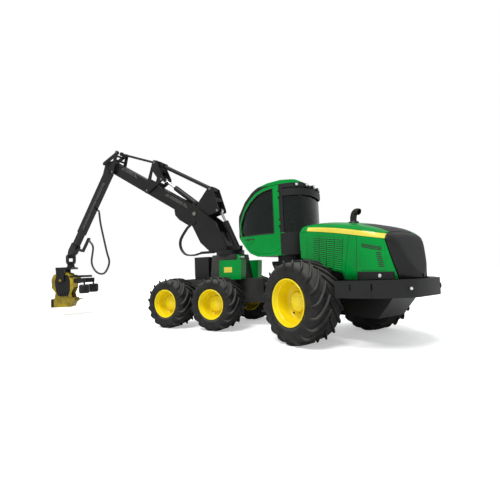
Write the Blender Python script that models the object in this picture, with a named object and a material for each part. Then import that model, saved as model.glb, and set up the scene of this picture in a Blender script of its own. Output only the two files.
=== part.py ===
"""A six-wheeled forestry harvester with a pivot-steered frame, a turning cab and a linked crane with its head.

Metres, +Z up, +X towards the crane's end of the machine. It stands on its tyres, and the origin is on the
ground below the middle of the whole machine. Sizes below are measured from the rear axle, on the ground.
"""

import math

import bmesh
import bpy
from mathutils import Matrix, Vector

# Where the origin lies ahead of the rear axle and to its left.
CENTRE_X = 4.264
CENTRE_Y = 1.609
SEAT_GAP = 0.0004
PIN_GAP = 0.0009
PIN_SIDES = 24
RUN_GAP = 0.02
OVERRUN = 0.2

# The pivot between the frames, and how far it is turned to the left at rest.
JOINT_X = 1.84
STEER_TURN = 26.4
JOINT_LOW = 0.50
JOINT_HIGH = 1.24
JOINT_LUG = 0.12
JOINT_RADIUS = 0.20

# Wheels: the single rear axle and the two bogie axles.
REAR_RADIUS = 0.822
REAR_WIDTH = 0.71
REAR_TRACK = 1.135
REAR_RIM = 0.455
FRONT_RADIUS = 0.665
FRONT_WIDTH = 0.71
FRONT_TRACK = 0.985
FRONT_RIM = 0.362
BOGIE_X = 2.15
BOGIE_SPAN = 1.50
RIM_WALL = 0.018
LUG_HEIGHT = 0.05
LUGS = 8
LUG_SWEEP = 29.0
LUG_THICK = 0.055
WHEEL_SIDES = 18
HUB_RADIUS = 0.20

# Rear frame, hood and bumper.
CHASSIS_HALF = 0.40
CHASSIS_TOP = 1.22
CHASSIS_LOW = 0.52
CHASSIS_REAR = -1.62
CHASSIS_FRONT = 1.30
AXLE_RADIUS = 0.14
HOOD_HALF = 0.76
HOOD_FRONT = 0.33
HOOD_REAR = -1.86
HOOD_TOP = 2.42
HOOD_LOW = 1.235
HOOD_WALL = 0.03
CAP_GAP = 0.0006
BUMPER_LOW = 0.93
BUMPER_HIGH = 1.225
BUMPER_HALF = 1.15
BUMPER_FRONT = -0.90
BUMPER_REAR = -1.95
BUMPER_WALL = 0.09
EXHAUST_RADIUS = 0.062
EXHAUST_X = -0.72
EXHAUST_Y = 0.30
EXHAUST_RISE = 0.20
ENGINE_TOP = 2.08

# Cab: its turning axis on the rear frame, and its turn at rest.
CAB_X = 1.35
CAB_TURN = 26.4
CAB_HALF = 0.74
CAB_LOW = 1.79
CAB_HIGH = 3.56
CAB_NOSE = 1.44
CAB_TAIL = -0.62
CAB_WALL = 0.05
CAB_BELT = 2.32
PILLAR_WIDTH = 0.10
GLASS = 0.008
CAB_RING = 0.42
RING_HEIGHT = 0.06
DOOR_WALL = 0.045
DOOR_GAP = 0.006
SEAT_WIDTH = 0.50
HINGE_RADIUS = 0.022
HINGE_HEIGHT = 0.10
HINGE_SHARES = (0.40, 0.78)
LAMP_RADIUS = 0.05
ROOF_LAMPS = 4
ROOF_LAMP_SHARE = 0.58
REAR_LAMPS = 3

# Front frame.
FRONT_HALF = 0.36
FRONT_LOW = 0.62
DECK = 1.25
TOWER_TOP = 1.93
NOSE_X = 3.10
BEAM_INNER = 0.43
BEAM_OUTER = 0.60
BEAM_DEPTH = 0.30
BOX_REAR = 0.90
BOX_FRONT = 1.60
BOX_OUTER = 0.60
BOX_LOW = 1.2504
BOX_HIGH = 1.76
VALVE_REAR = 2.12
VALVE_FRONT = 2.62
VALVE_TOP = 1.90
ARCH_LAMPS = 3

# Crane: the turning axis and the boom's root pin on the front frame.
SLEW_X = 1.60
RING_RADIUS = 0.40
ROOT_X = 2.62
ROOT_Z = 3.20
BOOM_RISE = 30.3
BOOM_LENGTH = 4.42
BOOM_HALF = 0.15
BOOM_DEPTH = 0.40
PIN_RADIUS = 0.045
PLATE = 0.035
PLATE_GAP = 0.014
LIFT_FOOT_X = 1.36
LIFT_FOOT_Z = 2.12
STICK_DROP = 82.3
STICK_LENGTH = 4.13
STICK_OUTER = 3.02
STICK_WIDTH = 0.22
STICK_DEPTH = 0.27
STICK_WALL = 0.02
TELESCOPE_OVERLAP = 1.95
TIP_EYE = 0.08

# Hanger, rotator and head.
HANGER_DROP = 0.26
ROTATOR_RADIUS = 0.15
ROTATOR_HEIGHT = 0.15
HEAD_TURN = -145.0
HEAD_SETBACK = 0.28
HEAD_DEPTH = 0.82
HEAD_HEIGHT = 1.40
HEAD_HALF = 0.22
HEAD_PLATE = 0.03
HEAD_PIVOT_DROP = 0.50
ROLLER_RADIUS = 0.19
ROLLER_HEIGHT = 0.34
HOSE_RADIUS = 0.024

# The crane's pins in the boom's own frame: along the boom from its root pin, and above that line.
PINS = {
    "stick": (4.42, 0.02),
    "crank": (4.76, -0.08),
    "idler_foot": (4.13, -0.18),
    "idler_top": (4.27, 0.50),
    "lever_foot": (2.27, -0.14),
    "lever_top": (2.41, 0.80),
    "rocker_top": (-0.08, 0.85),
    "lever_rod": (1.85, 0.42),
    "luff_foot": (0.28, 0.235),
    "rocker_rod": (-0.62, 0.40),
}

GREEN = (0.02, 0.32, 0.09, 1)
YELLOW = (0.85, 0.68, 0.05, 1)
BLACK = (0.03, 0.03, 0.03, 1)
GREY = (0.16, 0.16, 0.16, 1)
STEEL = (0.6, 0.6, 0.6, 1)
RUBBER = (0.05, 0.05, 0.05, 1)
GLAZING = (0.05, 0.08, 0.08, 1)
WHITE = (0.9, 0.9, 0.9, 1)


def clear_scene():
    for old in list(bpy.data.objects):
        bpy.data.objects.remove(old, do_unlink=True)


def material(name, colour, roughness, metallic=0):
    made = bpy.data.materials.new(name)
    made.use_nodes = True
    shader = made.node_tree.nodes["Principled BSDF"]
    shader.inputs["Base Color"].default_value = colour
    shader.inputs["Roughness"].default_value = roughness
    shader.inputs["Metallic"].default_value = metallic
    return made


def empty(name, parent, place, turn=0, rise=0):
    """A frame to build in: turned about Z first, then raised at its front end."""
    made = bpy.data.objects.new(name + "_frame", None)
    bpy.context.scene.collection.objects.link(made)
    made.parent = parent
    made.location = place
    made.rotation_euler = (0, -math.radians(rise), math.radians(turn))
    return made


def prism(outline, low, high, across="y"):
    """An outline drawn in x and z (or x and y, or y and z) pushed through from low to high."""
    order = {"y": (0, 2, 1), "z": (0, 1, 2), "x": (1, 2, 0)}[across]
    points = []
    for level in (low, high):
        for first, second in outline:
            point = [0, 0, 0]
            point[order[0]] = first
            point[order[1]] = second
            point[order[2]] = level
            points.append(tuple(point))
    count = len(outline)
    faces = [tuple(range(count)), tuple(range(count, 2 * count))]
    for i in range(count):
        j = (i + 1) % count
        faces.append((i, j, count + j, count + i))
    return points, faces


def block(x0, x1, y0, y1, z0, z1):
    return prism([(x0, z0), (x1, z0), (x1, z1), (x0, z1)], y0, y1)


def turned(profile, sides=32, across="y", place=(0, 0)):
    """A closed profile of (level, radius) turned about an axis. Points at zero radius become one point."""
    order = {"y": (0, 2, 1), "z": (0, 1, 2), "x": (1, 2, 0)}[across]
    points = []
    rings = []
    for level, radius in profile:
        ring = []
        for i in range(sides if radius > 0 else 1):
            angle = 2 * math.pi * i / sides
            point = [0, 0, 0]
            point[order[0]] = place[0] + radius * math.cos(angle)
            point[order[1]] = place[1] + radius * math.sin(angle)
            point[order[2]] = level
            ring.append(len(points))
            points.append(tuple(point))
        rings.append(ring)
    faces = []
    for ring, after in zip(rings, rings[1:] + rings[:1]):
        if len(ring) == 1 and len(after) == 1:
            continue
        for i in range(sides):
            j = (i + 1) % sides
            corners = [ring[i % len(ring)], ring[j % len(ring)], after[j % len(after)], after[i % len(after)]]
            faces.append(tuple(dict.fromkeys(corners)))
    return points, faces


def drum(low, high, radius, sides=24, across="y", place=(0, 0)):
    return turned([(low, 0), (low, radius), (high, radius), (high, 0)], sides, across, place)


def bar(start, end, radius, sides=16):
    """A round bar between two points."""
    start, end = Vector(start), Vector(end)
    turn = (end - start).to_track_quat("Z", "Y").to_matrix()
    points, faces = drum(0, (end - start).length, radius, sides, "z")
    return [tuple(start + turn @ Vector(point)) for point in points], faces


def pin(place, reach, radius=None, near=None):
    """A pin across the crane at a place in x and z: whole from side to side, or a stub on one side from near."""
    low = -reach if near is None else near
    return moved(drum(low, reach, radius or PIN_RADIUS, PIN_SIDES), (place[0], 0, place[1]))


def stubs(place, near, reach, radius=None):
    """A pair of pin stubs, one on each side."""
    return [pin(place, reach, radius, near), pin(place, -near, radius, -reach)]


def bore(place, reach, radius=None):
    """The hole that a pin runs in."""
    return pin(place, reach + OVERRUN, (radius or PIN_RADIUS) + PIN_GAP)


def smooth(points, steps):
    """A curve through all the points, with this many short stretches between each two."""
    points = [Vector(point) for point in points]
    line = [points[0] * 2 - points[1]] + points + [points[-1] * 2 - points[-2]]
    route = []
    for i in range(1, len(line) - 2):
        before, here, there, after = line[i - 1:i + 3]
        for step in range(steps):
            t = step / steps
            leave, arrive = (there - before) / 2, (after - here) / 2
            route.append(here * (1 + t * t * (2 * t - 3)) + there * (t * t * (3 - 2 * t))
                         + leave * (t * (1 - t) ** 2) - arrive * (t * t * (1 - t)))
    return route + [points[-1]]


def hose(name, frame, finish, points):
    """A free hose in the crane's own plane: its points are in x, y and z."""
    guide = bpy.data.curves.new(name, "CURVE")
    guide.dimensions = "3D"
    line = guide.splines.new("POLY")
    route = [Vector(points[0])] + smooth(points[1:-1], HOSE_STEPS) + [Vector(points[-1])]
    line.points.add(len(route) - 1)
    for point, place in zip(line.points, route):
        point.co = (*place, 1)
    guide.bevel_depth = HOSE_RADIUS
    guide.bevel_resolution = 2
    guide.use_fill_caps = True
    guide.materials.append(finish)
    made = bpy.data.objects.new(name, guide)
    bpy.context.scene.collection.objects.link(made)
    made.parent = frame


def gland(place, towards, y=0):
    """A hose's end fitting, from a place on its carrier: its shape, and the hose's two first points."""
    start = Vector((place[0], y, place[1]))
    ahead = (Vector((towards[0], y, towards[1])) - start).normalized()
    end = start + ahead * GLAND_LENGTH
    first = end + ahead * SEAT_GAP
    return bar(start - ahead * GLAND_LENGTH / 2, end, HOSE_RADIUS * 1.1, 10), [first, first + ahead * GLAND_LENGTH]


def moved(shape, place=(0, 0, 0), turn=None):
    points, faces = shape
    matrix = Matrix.Translation(place) @ (turn or Matrix.Identity(4))
    return [tuple(matrix @ Vector(point)) for point in points], faces


def mirrored(shape):
    points, faces = shape
    return [(x, -y, z) for x, y, z in points], faces


def scaled(shares, length, height, x=0, z=0):
    return [(x + along * length, z + up * height) for along, up in shares]


def slot_outline(start, end, width_start, width_end=None, steps=6):
    """A bar's outline with round ends about two pins."""
    width_end = width_end or width_start
    along = Vector(end) - Vector(start)
    base = math.atan2(along.y, along.x)
    outline = []
    for centre, radius, first in ((start, width_start / 2, 90), (end, width_end / 2, -90)):
        for i in range(steps + 1):
            angle = base + math.radians(first + 180 * i / steps)
            outline.append((centre[0] + radius * math.cos(angle), centre[1] + radius * math.sin(angle)))
    return outline


def mesh_of(name, shapes):
    mesh = bpy.data.meshes.new(name)
    work = bmesh.new()
    for points, faces in shapes:
        corners = [work.verts.new(point) for point in points]
        for face in faces:
            work.faces.new([corners[i] for i in face])
    bmesh.ops.recalc_face_normals(work, faces=work.faces)
    work.to_mesh(mesh)
    work.free()
    return mesh


def helper(name, shapes, frame):
    made = bpy.data.objects.new(name, mesh_of(name, shapes))
    bpy.context.scene.collection.objects.link(made)
    made.parent = frame
    made.hide_render = True
    made.display_type = "WIRE"
    return made


def boolean(piece, other, operation):
    modifier = piece.modifiers.new(operation.title(), "BOOLEAN")
    modifier.operation = operation
    modifier.object = other
    modifier.use_self = operation != "INTERSECT"
    modifier.show_render = modifier.show_viewport


def solid(name, frame, finish, shapes, cuts=(), keeps=(), adds=()):
    """One closed piece: the shapes fused together, then kept inside some shapes and cut by others."""
    piece = bpy.data.objects.new(name, mesh_of(name, shapes[:1]))
    bpy.context.scene.collection.objects.link(piece)
    piece.parent = frame
    piece.data.materials.append(finish)
    if shapes[1:]:
        boolean(piece, helper(name + "_joined", shapes[1:], frame), "UNION")
    for i, kept in enumerate(keeps):
        boolean(piece, helper(f"{name}_kept_{i}", [kept], frame), "INTERSECT")
    if cuts:
        boolean(piece, helper(name + "_cuts", list(cuts), frame), "DIFFERENCE")
    if adds:
        boolean(piece, helper(name + "_added", list(adds), frame), "UNION")
    piece.data.shade_smooth()
    piece.data.set_sharp_from_angle(angle=math.radians(35))
    return piece


# Half a lug on the tread: share of the half width, degrees ahead of its inner end, height share at that point.
LUG_LINE_SHARES = [(0.03, 0.0, 1.0), (0.78, 0.72, 1.0), (0.985, 1.0, -0.9)]


def lug(radius, width, base, start, sweep, side, thick):
    """One tread bar: a bent bar that runs from the middle of the tread to the shoulder, slanted back."""
    points = []
    for across, along, up in LUG_LINE_SHARES:
        angle = math.radians(start + sweep * along)
        y = side * width / 2 * across
        top = base + (radius - base) * up
        low = base - 2 * LUG_HEIGHT
        for r, wide in ((low, thick), (low, -thick), (top, -thick * 0.6), (top, thick * 0.6)):
            turn = angle + wide / radius
            points.append((r * math.cos(turn), y, r * math.sin(turn)))
    last = len(points) - 4
    faces = [(0, 1, 2, 3), (last + 3, last + 2, last + 1, last)]
    for i in range(len(LUG_LINE_SHARES) - 1):
        for j in range(4):
            k = (j + 1) % 4
            faces.append((4 * i + j, 4 * i + k, 4 * i + 4 + k, 4 * i + 4 + j))
    return points, faces


def tyre(name, frame, finish, radius, width, rim, side):
    half = width / 2
    base = radius - LUG_HEIGHT
    profile_shares = [
        (-0.62, 0.0), (-0.93, 0.10), (-1.0, 0.52), (-0.80, 1.0),
        (0.80, 1.0), (1.0, 0.52), (0.93, 0.10), (0.62, 0.0),
    ]
    height = base - rim
    profile = [(half * across, rim + height * up) for across, up in profile_shares]
    lugs = []
    for hand in (1, -1):
        for i in range(LUGS):
            start = 360 / LUGS * (i + (0.5 if hand < 0 else 0))
            lugs.append(lug(radius, width, base, start, LUG_SWEEP, hand, LUG_THICK * radius))
    tread = solid(name, frame, finish, [turned(profile, WHEEL_SIDES)] + lugs)
    tread.modifiers[0].solver = "EXACT"


def wheel_rim(name, frame, finish, width, rim, side, dish):
    """A rim with a turned-up flange at both edges and a disc set in by the dish, its hub bulging out."""
    half = width / 2
    barrel_shares = (0.62, 0.93, 0.98)
    seat = rim - SEAT_GAP
    inner = rim - RIM_WALL
    disc = half * barrel_shares[0] - dish
    hub = HUB_RADIUS
    profile = [
        (disc - RIM_WALL, 0), (disc - RIM_WALL, inner), (-half * barrel_shares[0], inner),
        (-half * barrel_shares[1], inner + RIM_WALL / 2), (-half * barrel_shares[0], seat),
        (half * barrel_shares[0], seat), (half * barrel_shares[1], inner + RIM_WALL / 2),
        (half * barrel_shares[0], inner), (disc + RIM_WALL, inner), (disc + RIM_WALL, hub * 1.3),
        (disc + dish / 2, hub), (disc + dish / 2, 0),
    ]
    shape = turned([(side * level, radius) for level, radius in profile], WHEEL_SIDES)
    return solid(name, frame, finish, [shape])


def wheel(label, parent, place, radius, width, rim, side, dish, finishes):
    frame = empty("wheel_" + label, parent, place)
    tyre("tyre_" + label, frame, finishes["rubber"], radius, width, rim, side)
    wheel_rim("rim_" + label, frame, finishes["yellow"], width, rim, side, dish)
    return frame


def rear_frame(machine, finishes):
    half = CHASSIS_HALF
    arch = REAR_RADIUS - AXLE_RADIUS
    under = [
        (CHASSIS_REAR, CHASSIS_TOP), (CHASSIS_REAR, BUMPER_LOW + BUMPER_WALL),
        (CHASSIS_REAR * 0.75, CHASSIS_LOW), (-2 * AXLE_RADIUS, CHASSIS_LOW),
        (-2 * AXLE_RADIUS, REAR_RADIUS + AXLE_RADIUS + SEAT_GAP),
        (2 * AXLE_RADIUS, REAR_RADIUS + AXLE_RADIUS + SEAT_GAP),
        (2 * AXLE_RADIUS, CHASSIS_LOW), (CHASSIS_FRONT - AXLE_RADIUS, CHASSIS_LOW),
        (CHASSIS_FRONT, CHASSIS_LOW + AXLE_RADIUS), (CHASSIS_FRONT, CHASSIS_TOP),
    ]
    shapes = [prism(under, -half, half)]
    lug_half = JOINT_RADIUS
    for low in (JOINT_LOW, JOINT_HIGH - JOINT_LUG):
        shapes.append(block(CHASSIS_FRONT - OVERRUN, JOINT_X, -lug_half, lug_half, low, low + JOINT_LUG))
        shapes.append(drum(low, low + JOINT_LUG, lug_half, 24, "z", (JOINT_X, 0)))
    pin_low = JOINT_LOW + JOINT_LUG / 2
    shapes.append(drum(pin_low, JOINT_HIGH - JOINT_LUG / 2, lug_half * 0.4, PIN_SIDES, "z", (JOINT_X, 0)))
    for x in (HOOD_REAR * 0.52, HOOD_REAR * 0.84):
        bracket = RUN_GAP * 3
        wide = HOOD_HALF * (0.97 if x > HOOD_REAR * 0.6 else 0.68)
        for ys in ((half - RUN_GAP, wide), (-wide, RUN_GAP - half)):
            shapes.append(block(x - bracket, x + bracket, ys[0], ys[1], HOOD_LOW - bracket, HOOD_LOW - SEAT_GAP))
    ring_low = CAB_LOW - 2 * RING_HEIGHT
    pedestal = [
        (CAB_X - CAB_RING * 1.4, CHASSIS_TOP - OVERRUN / 2), (CAB_X + CAB_RING * 0.3, CHASSIS_TOP - OVERRUN / 2),
        (CAB_X + CAB_RING, ring_low - RING_HEIGHT), (CAB_X + CAB_RING, ring_low),
        (CAB_X - CAB_RING * 1.4, ring_low),
    ]
    shapes.append(prism(pedestal, -half, half))
    shapes.append(drum(ring_low - RING_HEIGHT, CAB_LOW - SEAT_GAP, CAB_RING, 32, "z", (CAB_X, 0)))
    step_x = (REAR_RADIUS + RUN_GAP * 5, CHASSIS_FRONT)
    step_y = (half - RUN_GAP, REAR_TRACK)
    step_wall = RUN_GAP * 2
    step_rise = (CHASSIS_TOP - CHASSIS_LOW) / 2
    for i in range(2):
        z = CHASSIS_LOW + i * step_rise
        shapes.append(block(step_x[0], step_x[1], step_y[0], step_y[1], z, z + step_wall))
    shapes.append(block(step_x[0], step_x[0] + step_wall, step_y[0], step_y[1],
                        CHASSIS_LOW, CHASSIS_LOW + step_rise + step_wall))
    solid("rear_chassis", machine, finishes["black"], shapes)

    hub_y = REAR_TRACK + (REAR_WIDTH / 2) * 0.62 - REAR_DISH - RIM_WALL - SEAT_GAP
    axle = [
        (-hub_y, 0), (-hub_y, HUB_RADIUS), (-hub_y + AXLE_RADIUS, HUB_RADIUS), (-half, AXLE_RADIUS),
        (-AXLE_RADIUS, AXLE_RADIUS), (AXLE_RADIUS, AXLE_RADIUS), (half, AXLE_RADIUS),
        (hub_y - AXLE_RADIUS, HUB_RADIUS), (hub_y, HUB_RADIUS), (hub_y, 0),
    ]
    centre = drum(-AXLE_RADIUS, AXLE_RADIUS, AXLE_RADIUS * 1.9, 24)
    lift = (0, 0, REAR_RADIUS)
    axle_cut = block(-OVERRUN * 2, OVERRUN * 2, -half - SEAT_GAP, half + SEAT_GAP, REAR_RADIUS + AXLE_RADIUS,
                     REAR_RADIUS + AXLE_RADIUS * 2)
    solid("rear_axle", machine, finishes["black"], [moved(turned(axle), lift), moved(centre, lift)], [axle_cut])
    engine_half = HOOD_HALF * 0.49
    solid("engine_block", machine, finishes["grey"], [
        block(HOOD_REAR * 0.62, HOOD_FRONT * 0.2, -engine_half, engine_half, CHASSIS_TOP + SEAT_GAP, ENGINE_TOP)])


REAR_DISH = 0.27
FRONT_DISH = 0.20

# The hood seen from above (share of its length back from its front, share of its half width) and
# from the side (share of its length, share of its height), and its shoulder across.
HOOD_PLAN_SHARES = [(0.0, 0.94), (0.03, 1.0), (0.60, 1.0), (0.74, 0.93), (0.86, 0.74), (0.95, 0.42), (1.0, 0.0)]
HOOD_SIDE_SHARES = [
    (0.0, 0.38), (0.0, 0.93), (0.04, 1.0), (0.28, 0.985), (0.55, 0.90), (0.75, 0.79), (0.86, 0.68),
    (0.905, 0.60), (1.0, 0.03), (1.0, 0.0), (0.52, 0.0), (0.52, 0.10), (0.20, 0.235),
]
SHOULDER_SHARES = [(1.0, 0.0), (1.0, 0.78), (0.97, 0.88), (0.88, 0.945), (0.5, 0.985), (0.0, 1.0)]
# The louvred panel: its upper front, upper rear, lower rear and lower front corners, as shares like the side's.
LOUVRE_SHARES = [(0.183, 0.72), (0.530, 0.64), (0.490, 0.14), (0.155, 0.30)]
LOUVRE_ROWS = 4
LOUVRE_OPEN = 0.45
VENT_SHARES = [(0.70, 0.50), (0.85, 0.44), (0.86, 0.20), (0.69, 0.22)]
# The slanted line where the green hood ends and the black rear cap begins.
CAP_LINE_SHARES = [(0.805, 1.1), (0.93, -0.1)]


def hood_shapes(inset):
    """The three outlines whose common solid is the hood: from above, from the side and across."""
    length = HOOD_FRONT - HOOD_REAR - 2 * inset
    height = HOOD_TOP - HOOD_LOW - inset
    half = HOOD_HALF - inset
    front = HOOD_FRONT - inset
    one_side = [(front - along * length, out * half) for along, out in HOOD_PLAN_SHARES]
    plan = one_side + [(x, -y) for x, y in reversed(one_side[:-1])]
    low = HOOD_LOW if inset == 0 else HOOD_LOW - OVERRUN
    side = [(front - along * length, HOOD_LOW + up * height) for along, up in HOOD_SIDE_SHARES]
    if inset:
        side = [(x, z if z > HOOD_LOW + height * 0.5 else z - OVERRUN) for x, z in side]
    left = [(out * half, HOOD_LOW + up * height) for out, up in SHOULDER_SHARES]
    left[0] = (left[0][0], low)
    across = left + [(-y, z) for y, z in reversed(left[:-1])]
    far = HOOD_TOP + OVERRUN
    return [
        prism(plan, low - OVERRUN, far, "z"),
        prism(side, -HOOD_HALF * 1.1, HOOD_HALF * 1.1, "y"),
        prism(across, HOOD_REAR - OVERRUN, HOOD_FRONT + OVERRUN, "x"),
    ]


def louvres(shares, rows):
    """Slots across a four-cornered panel in the hood's sides, each a part of its row's height."""
    corners = [Vector(corner) for corner in scaled(shares, HOOD_REAR - HOOD_FRONT, HOOD_TOP - HOOD_LOW,
                                                   HOOD_FRONT, HOOD_LOW)]
    slots = []
    for i in range(rows):
        upper, lower = i / rows, (i + LOUVRE_OPEN) / rows
        outline = [
            corners[0].lerp(corners[3], upper), corners[1].lerp(corners[2], upper),
            corners[1].lerp(corners[2], lower), corners[0].lerp(corners[3], lower),
        ]
        for ys in ((HOOD_HALF * 0.5, HOOD_HALF * 1.1), (-HOOD_HALF * 1.1, -HOOD_HALF * 0.5)):
            slots.append(prism([tuple(point) for point in outline], ys[0], ys[1]))
    return slots


def hood(machine, finishes):
    length = HOOD_FRONT - HOOD_REAR
    height = HOOD_TOP - HOOD_LOW
    line = [(HOOD_FRONT - along * length, HOOD_LOW + up * height) for along, up in CAP_LINE_SHARES]
    far = HOOD_REAR - OVERRUN
    behind = [line[0], line[1], (far, line[1][1]), (far, line[0][1])]
    ahead_x = HOOD_FRONT + OVERRUN
    ahead = [(line[0][0] + CAP_GAP, line[0][1]), (line[1][0] + CAP_GAP, line[1][1]),
             (ahead_x, line[1][1] - OVERRUN), (ahead_x, line[0][1])]
    wide = HOOD_HALF * 1.2
    for name, finish, zone in (("hood", "green", ahead), ("hood_rear_cap", "black", behind)):
        outer = hood_shapes(0)
        inner = hood_shapes(HOOD_WALL)
        piece = solid(name, machine, finishes[finish], [outer[0]], keeps=outer[1:] + [prism(zone, -wide, wide)])
        hollow = helper(name + "_hollow", [inner[0]], machine)
        for i, kept in enumerate(inner[1:]):
            boolean(hollow, helper(f"{name}_hollow_{i}", [kept], machine), "INTERSECT")
        boolean(piece, hollow, "DIFFERENCE")
        piece.modifiers[-1].use_self = False
        if name == "hood":
            hole = drum(ENGINE_TOP, HOOD_TOP + OVERRUN, EXHAUST_RADIUS + SEAT_GAP, 32, "z", (EXHAUST_X, EXHAUST_Y))
            slots = louvres(LOUVRE_SHARES, LOUVRE_ROWS)
            boolean(piece, helper("hood_openings", [hole] + slots, machine), "DIFFERENCE")


# Half of the bumper from above: share of its length back from its front, share of its half width.
BUMPER_PLAN_SHARES = [(0.0, 1.0), (0.35, 0.90), (0.68, 0.72), (0.95, 0.42), (1.0, 0.30)]


BUMPER_SLOT_SHARES = (0.25, 0.55)


def bumper(machine, finishes):
    length = BUMPER_FRONT - BUMPER_REAR
    outer = [(BUMPER_FRONT - along * length, out * BUMPER_HALF) for along, out in BUMPER_PLAN_SHARES]
    inner = [(x + BUMPER_WALL * (i > 0), y - BUMPER_WALL * 1.4) for i, (x, y) in enumerate(outer)]
    ring = outer + [(x, -y) for x, y in reversed(outer)] + [(x, -y) for x, y in inner] + list(reversed(inner))
    arm_y = (CHASSIS_HALF + SEAT_GAP, BUMPER_HALF * 0.80)
    arm_x = (BUMPER_FRONT - length * 0.55, BUMPER_FRONT - length * 0.40)
    shapes = [prism(ring, BUMPER_LOW, BUMPER_HIGH, "z")]
    for side in (1, -1):
        ys = sorted((side * arm_y[0], side * arm_y[1]))
        shapes.append(block(arm_x[0], arm_x[1], ys[0], ys[1], BUMPER_LOW + RUN_GAP, BUMPER_HIGH - RUN_GAP))
    slots = []
    for along in BUMPER_SLOT_SHARES:
        x = BUMPER_FRONT - along * length
        rise = (BUMPER_HIGH - BUMPER_LOW) / 2
        for ys in ((BUMPER_HALF * 0.6, BUMPER_HALF * 1.1), (-BUMPER_HALF * 1.1, -BUMPER_HALF * 0.6)):
            slots.append(block(x - RUN_GAP / 2, x + RUN_GAP / 2, ys[0], ys[1], BUMPER_LOW + rise * 0.9,
                               BUMPER_LOW + rise * 1.6))
    solid("bumper", machine, finishes["dark"], shapes, slots)


def exhaust(machine, finishes):
    guide = bpy.data.curves.new("exhaust", "CURVE")
    guide.dimensions = "3D"
    line = guide.splines.new("POLY")
    base = HOOD_TOP - HOOD_WALL * 4
    foot = (ENGINE_TOP + SEAT_GAP - base) / EXHAUST_RISE
    points = [(0, foot), (0, 0.6), (-0.12, 0.95), (-0.40, 1.17), (-0.75, 1.05)]
    line.points.add(len(points) - 1)
    for point, (along, up) in zip(line.points, points):
        point.co = (EXHAUST_X + along * EXHAUST_RISE, EXHAUST_Y, base + up * EXHAUST_RISE, 1)
    guide.bevel_depth = EXHAUST_RADIUS
    guide.bevel_resolution = 3
    guide.use_fill_caps = True
    guide.materials.append(finishes["black"])
    pipe = bpy.data.objects.new("exhaust", guide)
    bpy.context.scene.collection.objects.link(pipe)
    pipe.parent = machine


# The cab from the side: share of its length from tail to nose, share of its height from floor to roof.
CAB_SIDE_SHARES = [
    (0.36, 0.0), (0.62, 0.0), (0.73, 0.05), (0.83, 0.16), (0.93, 0.29), (1.0, 0.36), (0.985, 0.47),
    (0.91, 0.62), (0.80, 0.77), (0.68, 0.89), (0.58, 0.95), (0.46, 0.985), (0.30, 1.0), (0.13, 0.985),
    (0.03, 0.93), (0.0, 0.86), (0.0, 0.10), (0.06, 0.0),
]
# Half of the cab from above: share of its length from tail to nose, share of its half width.
CAB_PLAN_SHARES = [
    (0.0, 0.0), (0.01, 0.45), (0.07, 0.78), (0.17, 0.96), (0.27, 1.0), (0.62, 1.0), (0.78, 0.90),
    (0.92, 0.70), (0.985, 0.45), (1.0, 0.0),
]


def cab_body(inset):
    """The two outlines whose common solid is the closed cab, from the side and from above."""
    length = CAB_NOSE - CAB_TAIL
    height = CAB_HIGH - CAB_LOW
    middle = ((CAB_NOSE + CAB_TAIL) / 2, (CAB_HIGH + CAB_LOW) / 2)
    shrink_x = (length - 2 * inset) / length
    shrink_z = (height - 2 * inset) / height
    side = []
    for along, up in CAB_SIDE_SHARES:
        x, z = CAB_TAIL + along * length, CAB_LOW + up * height
        side.append((middle[0] + (x - middle[0]) * shrink_x, middle[1] + (z - middle[1]) * shrink_z))
    half = []
    for along, out in CAB_PLAN_SHARES:
        x = CAB_TAIL + along * length
        half.append((middle[0] + (x - middle[0]) * shrink_x, out * (CAB_HALF - inset)))
    plan = half + [(x, -y) for x, y in reversed(half[1:-1])]
    return [prism(side, -CAB_HALF * 1.1, CAB_HALF * 1.1), prism(plan, CAB_LOW - OVERRUN, CAB_HIGH + OVERRUN, "z")]


def cab_zone(x0, x1, z0, z1):
    return block(x0, x1, -CAB_HALF * 1.2, CAB_HALF * 1.2, z0, z1)


# The side window's outline: share of the cab's length and height, and the door's.
WINDOW_SHARES = [
    (0.40, 0.30), (0.86, 0.30), (0.895, 0.38), (0.87, 0.50), (0.80, 0.635), (0.70, 0.755), (0.60, 0.835),
    (0.52, 0.875), (0.40, 0.90),
]
DOOR_SHARES = [
    (0.325, 0.94), (0.325, 0.10), (0.40, 0.038), (0.62, 0.038), (0.72, 0.09), (0.82, 0.215), (0.89, 0.31),
    (0.925, 0.38), (0.90, 0.50), (0.825, 0.66), (0.72, 0.79), (0.62, 0.87), (0.52, 0.92), (0.42, 0.94),
]


def cab_outline(shares):
    return [(CAB_TAIL + a * (CAB_NOSE - CAB_TAIL), CAB_LOW + u * (CAB_HIGH - CAB_LOW)) for a, u in shares]


def grown(outline, amount):
    """The outline moved out from its middle by about the amount."""
    middle = Vector((sum(p[0] for p in outline) / len(outline), sum(p[1] for p in outline) / len(outline)))
    moved_out = []
    for point in outline:
        away = Vector(point) - middle
        moved_out.append(tuple(Vector(point) + away.normalized() * amount))
    return moved_out


def shell_piece(name, frame, finish, zones, cuts=(), wall=None, inset=0):
    """A piece of the cab's shell: the closed cab kept inside the zones, hollowed by its wall and cut."""
    wall = wall or CAB_WALL
    outer = cab_body(inset)
    piece = solid(name, frame, finish, [outer[0]], keeps=[outer[1]] + list(zones))
    inner = cab_body(inset + wall)
    hollow = helper(name + "_hollow", [inner[0]], frame)
    boolean(hollow, helper(name + "_hollow_plan", [inner[1]], frame), "INTERSECT")
    boolean(piece, hollow, "DIFFERENCE")
    piece.modifiers[-1].use_self = False
    if cuts:
        boolean(piece, helper(name + "_cuts", list(cuts), frame), "DIFFERENCE")
    return piece


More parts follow.
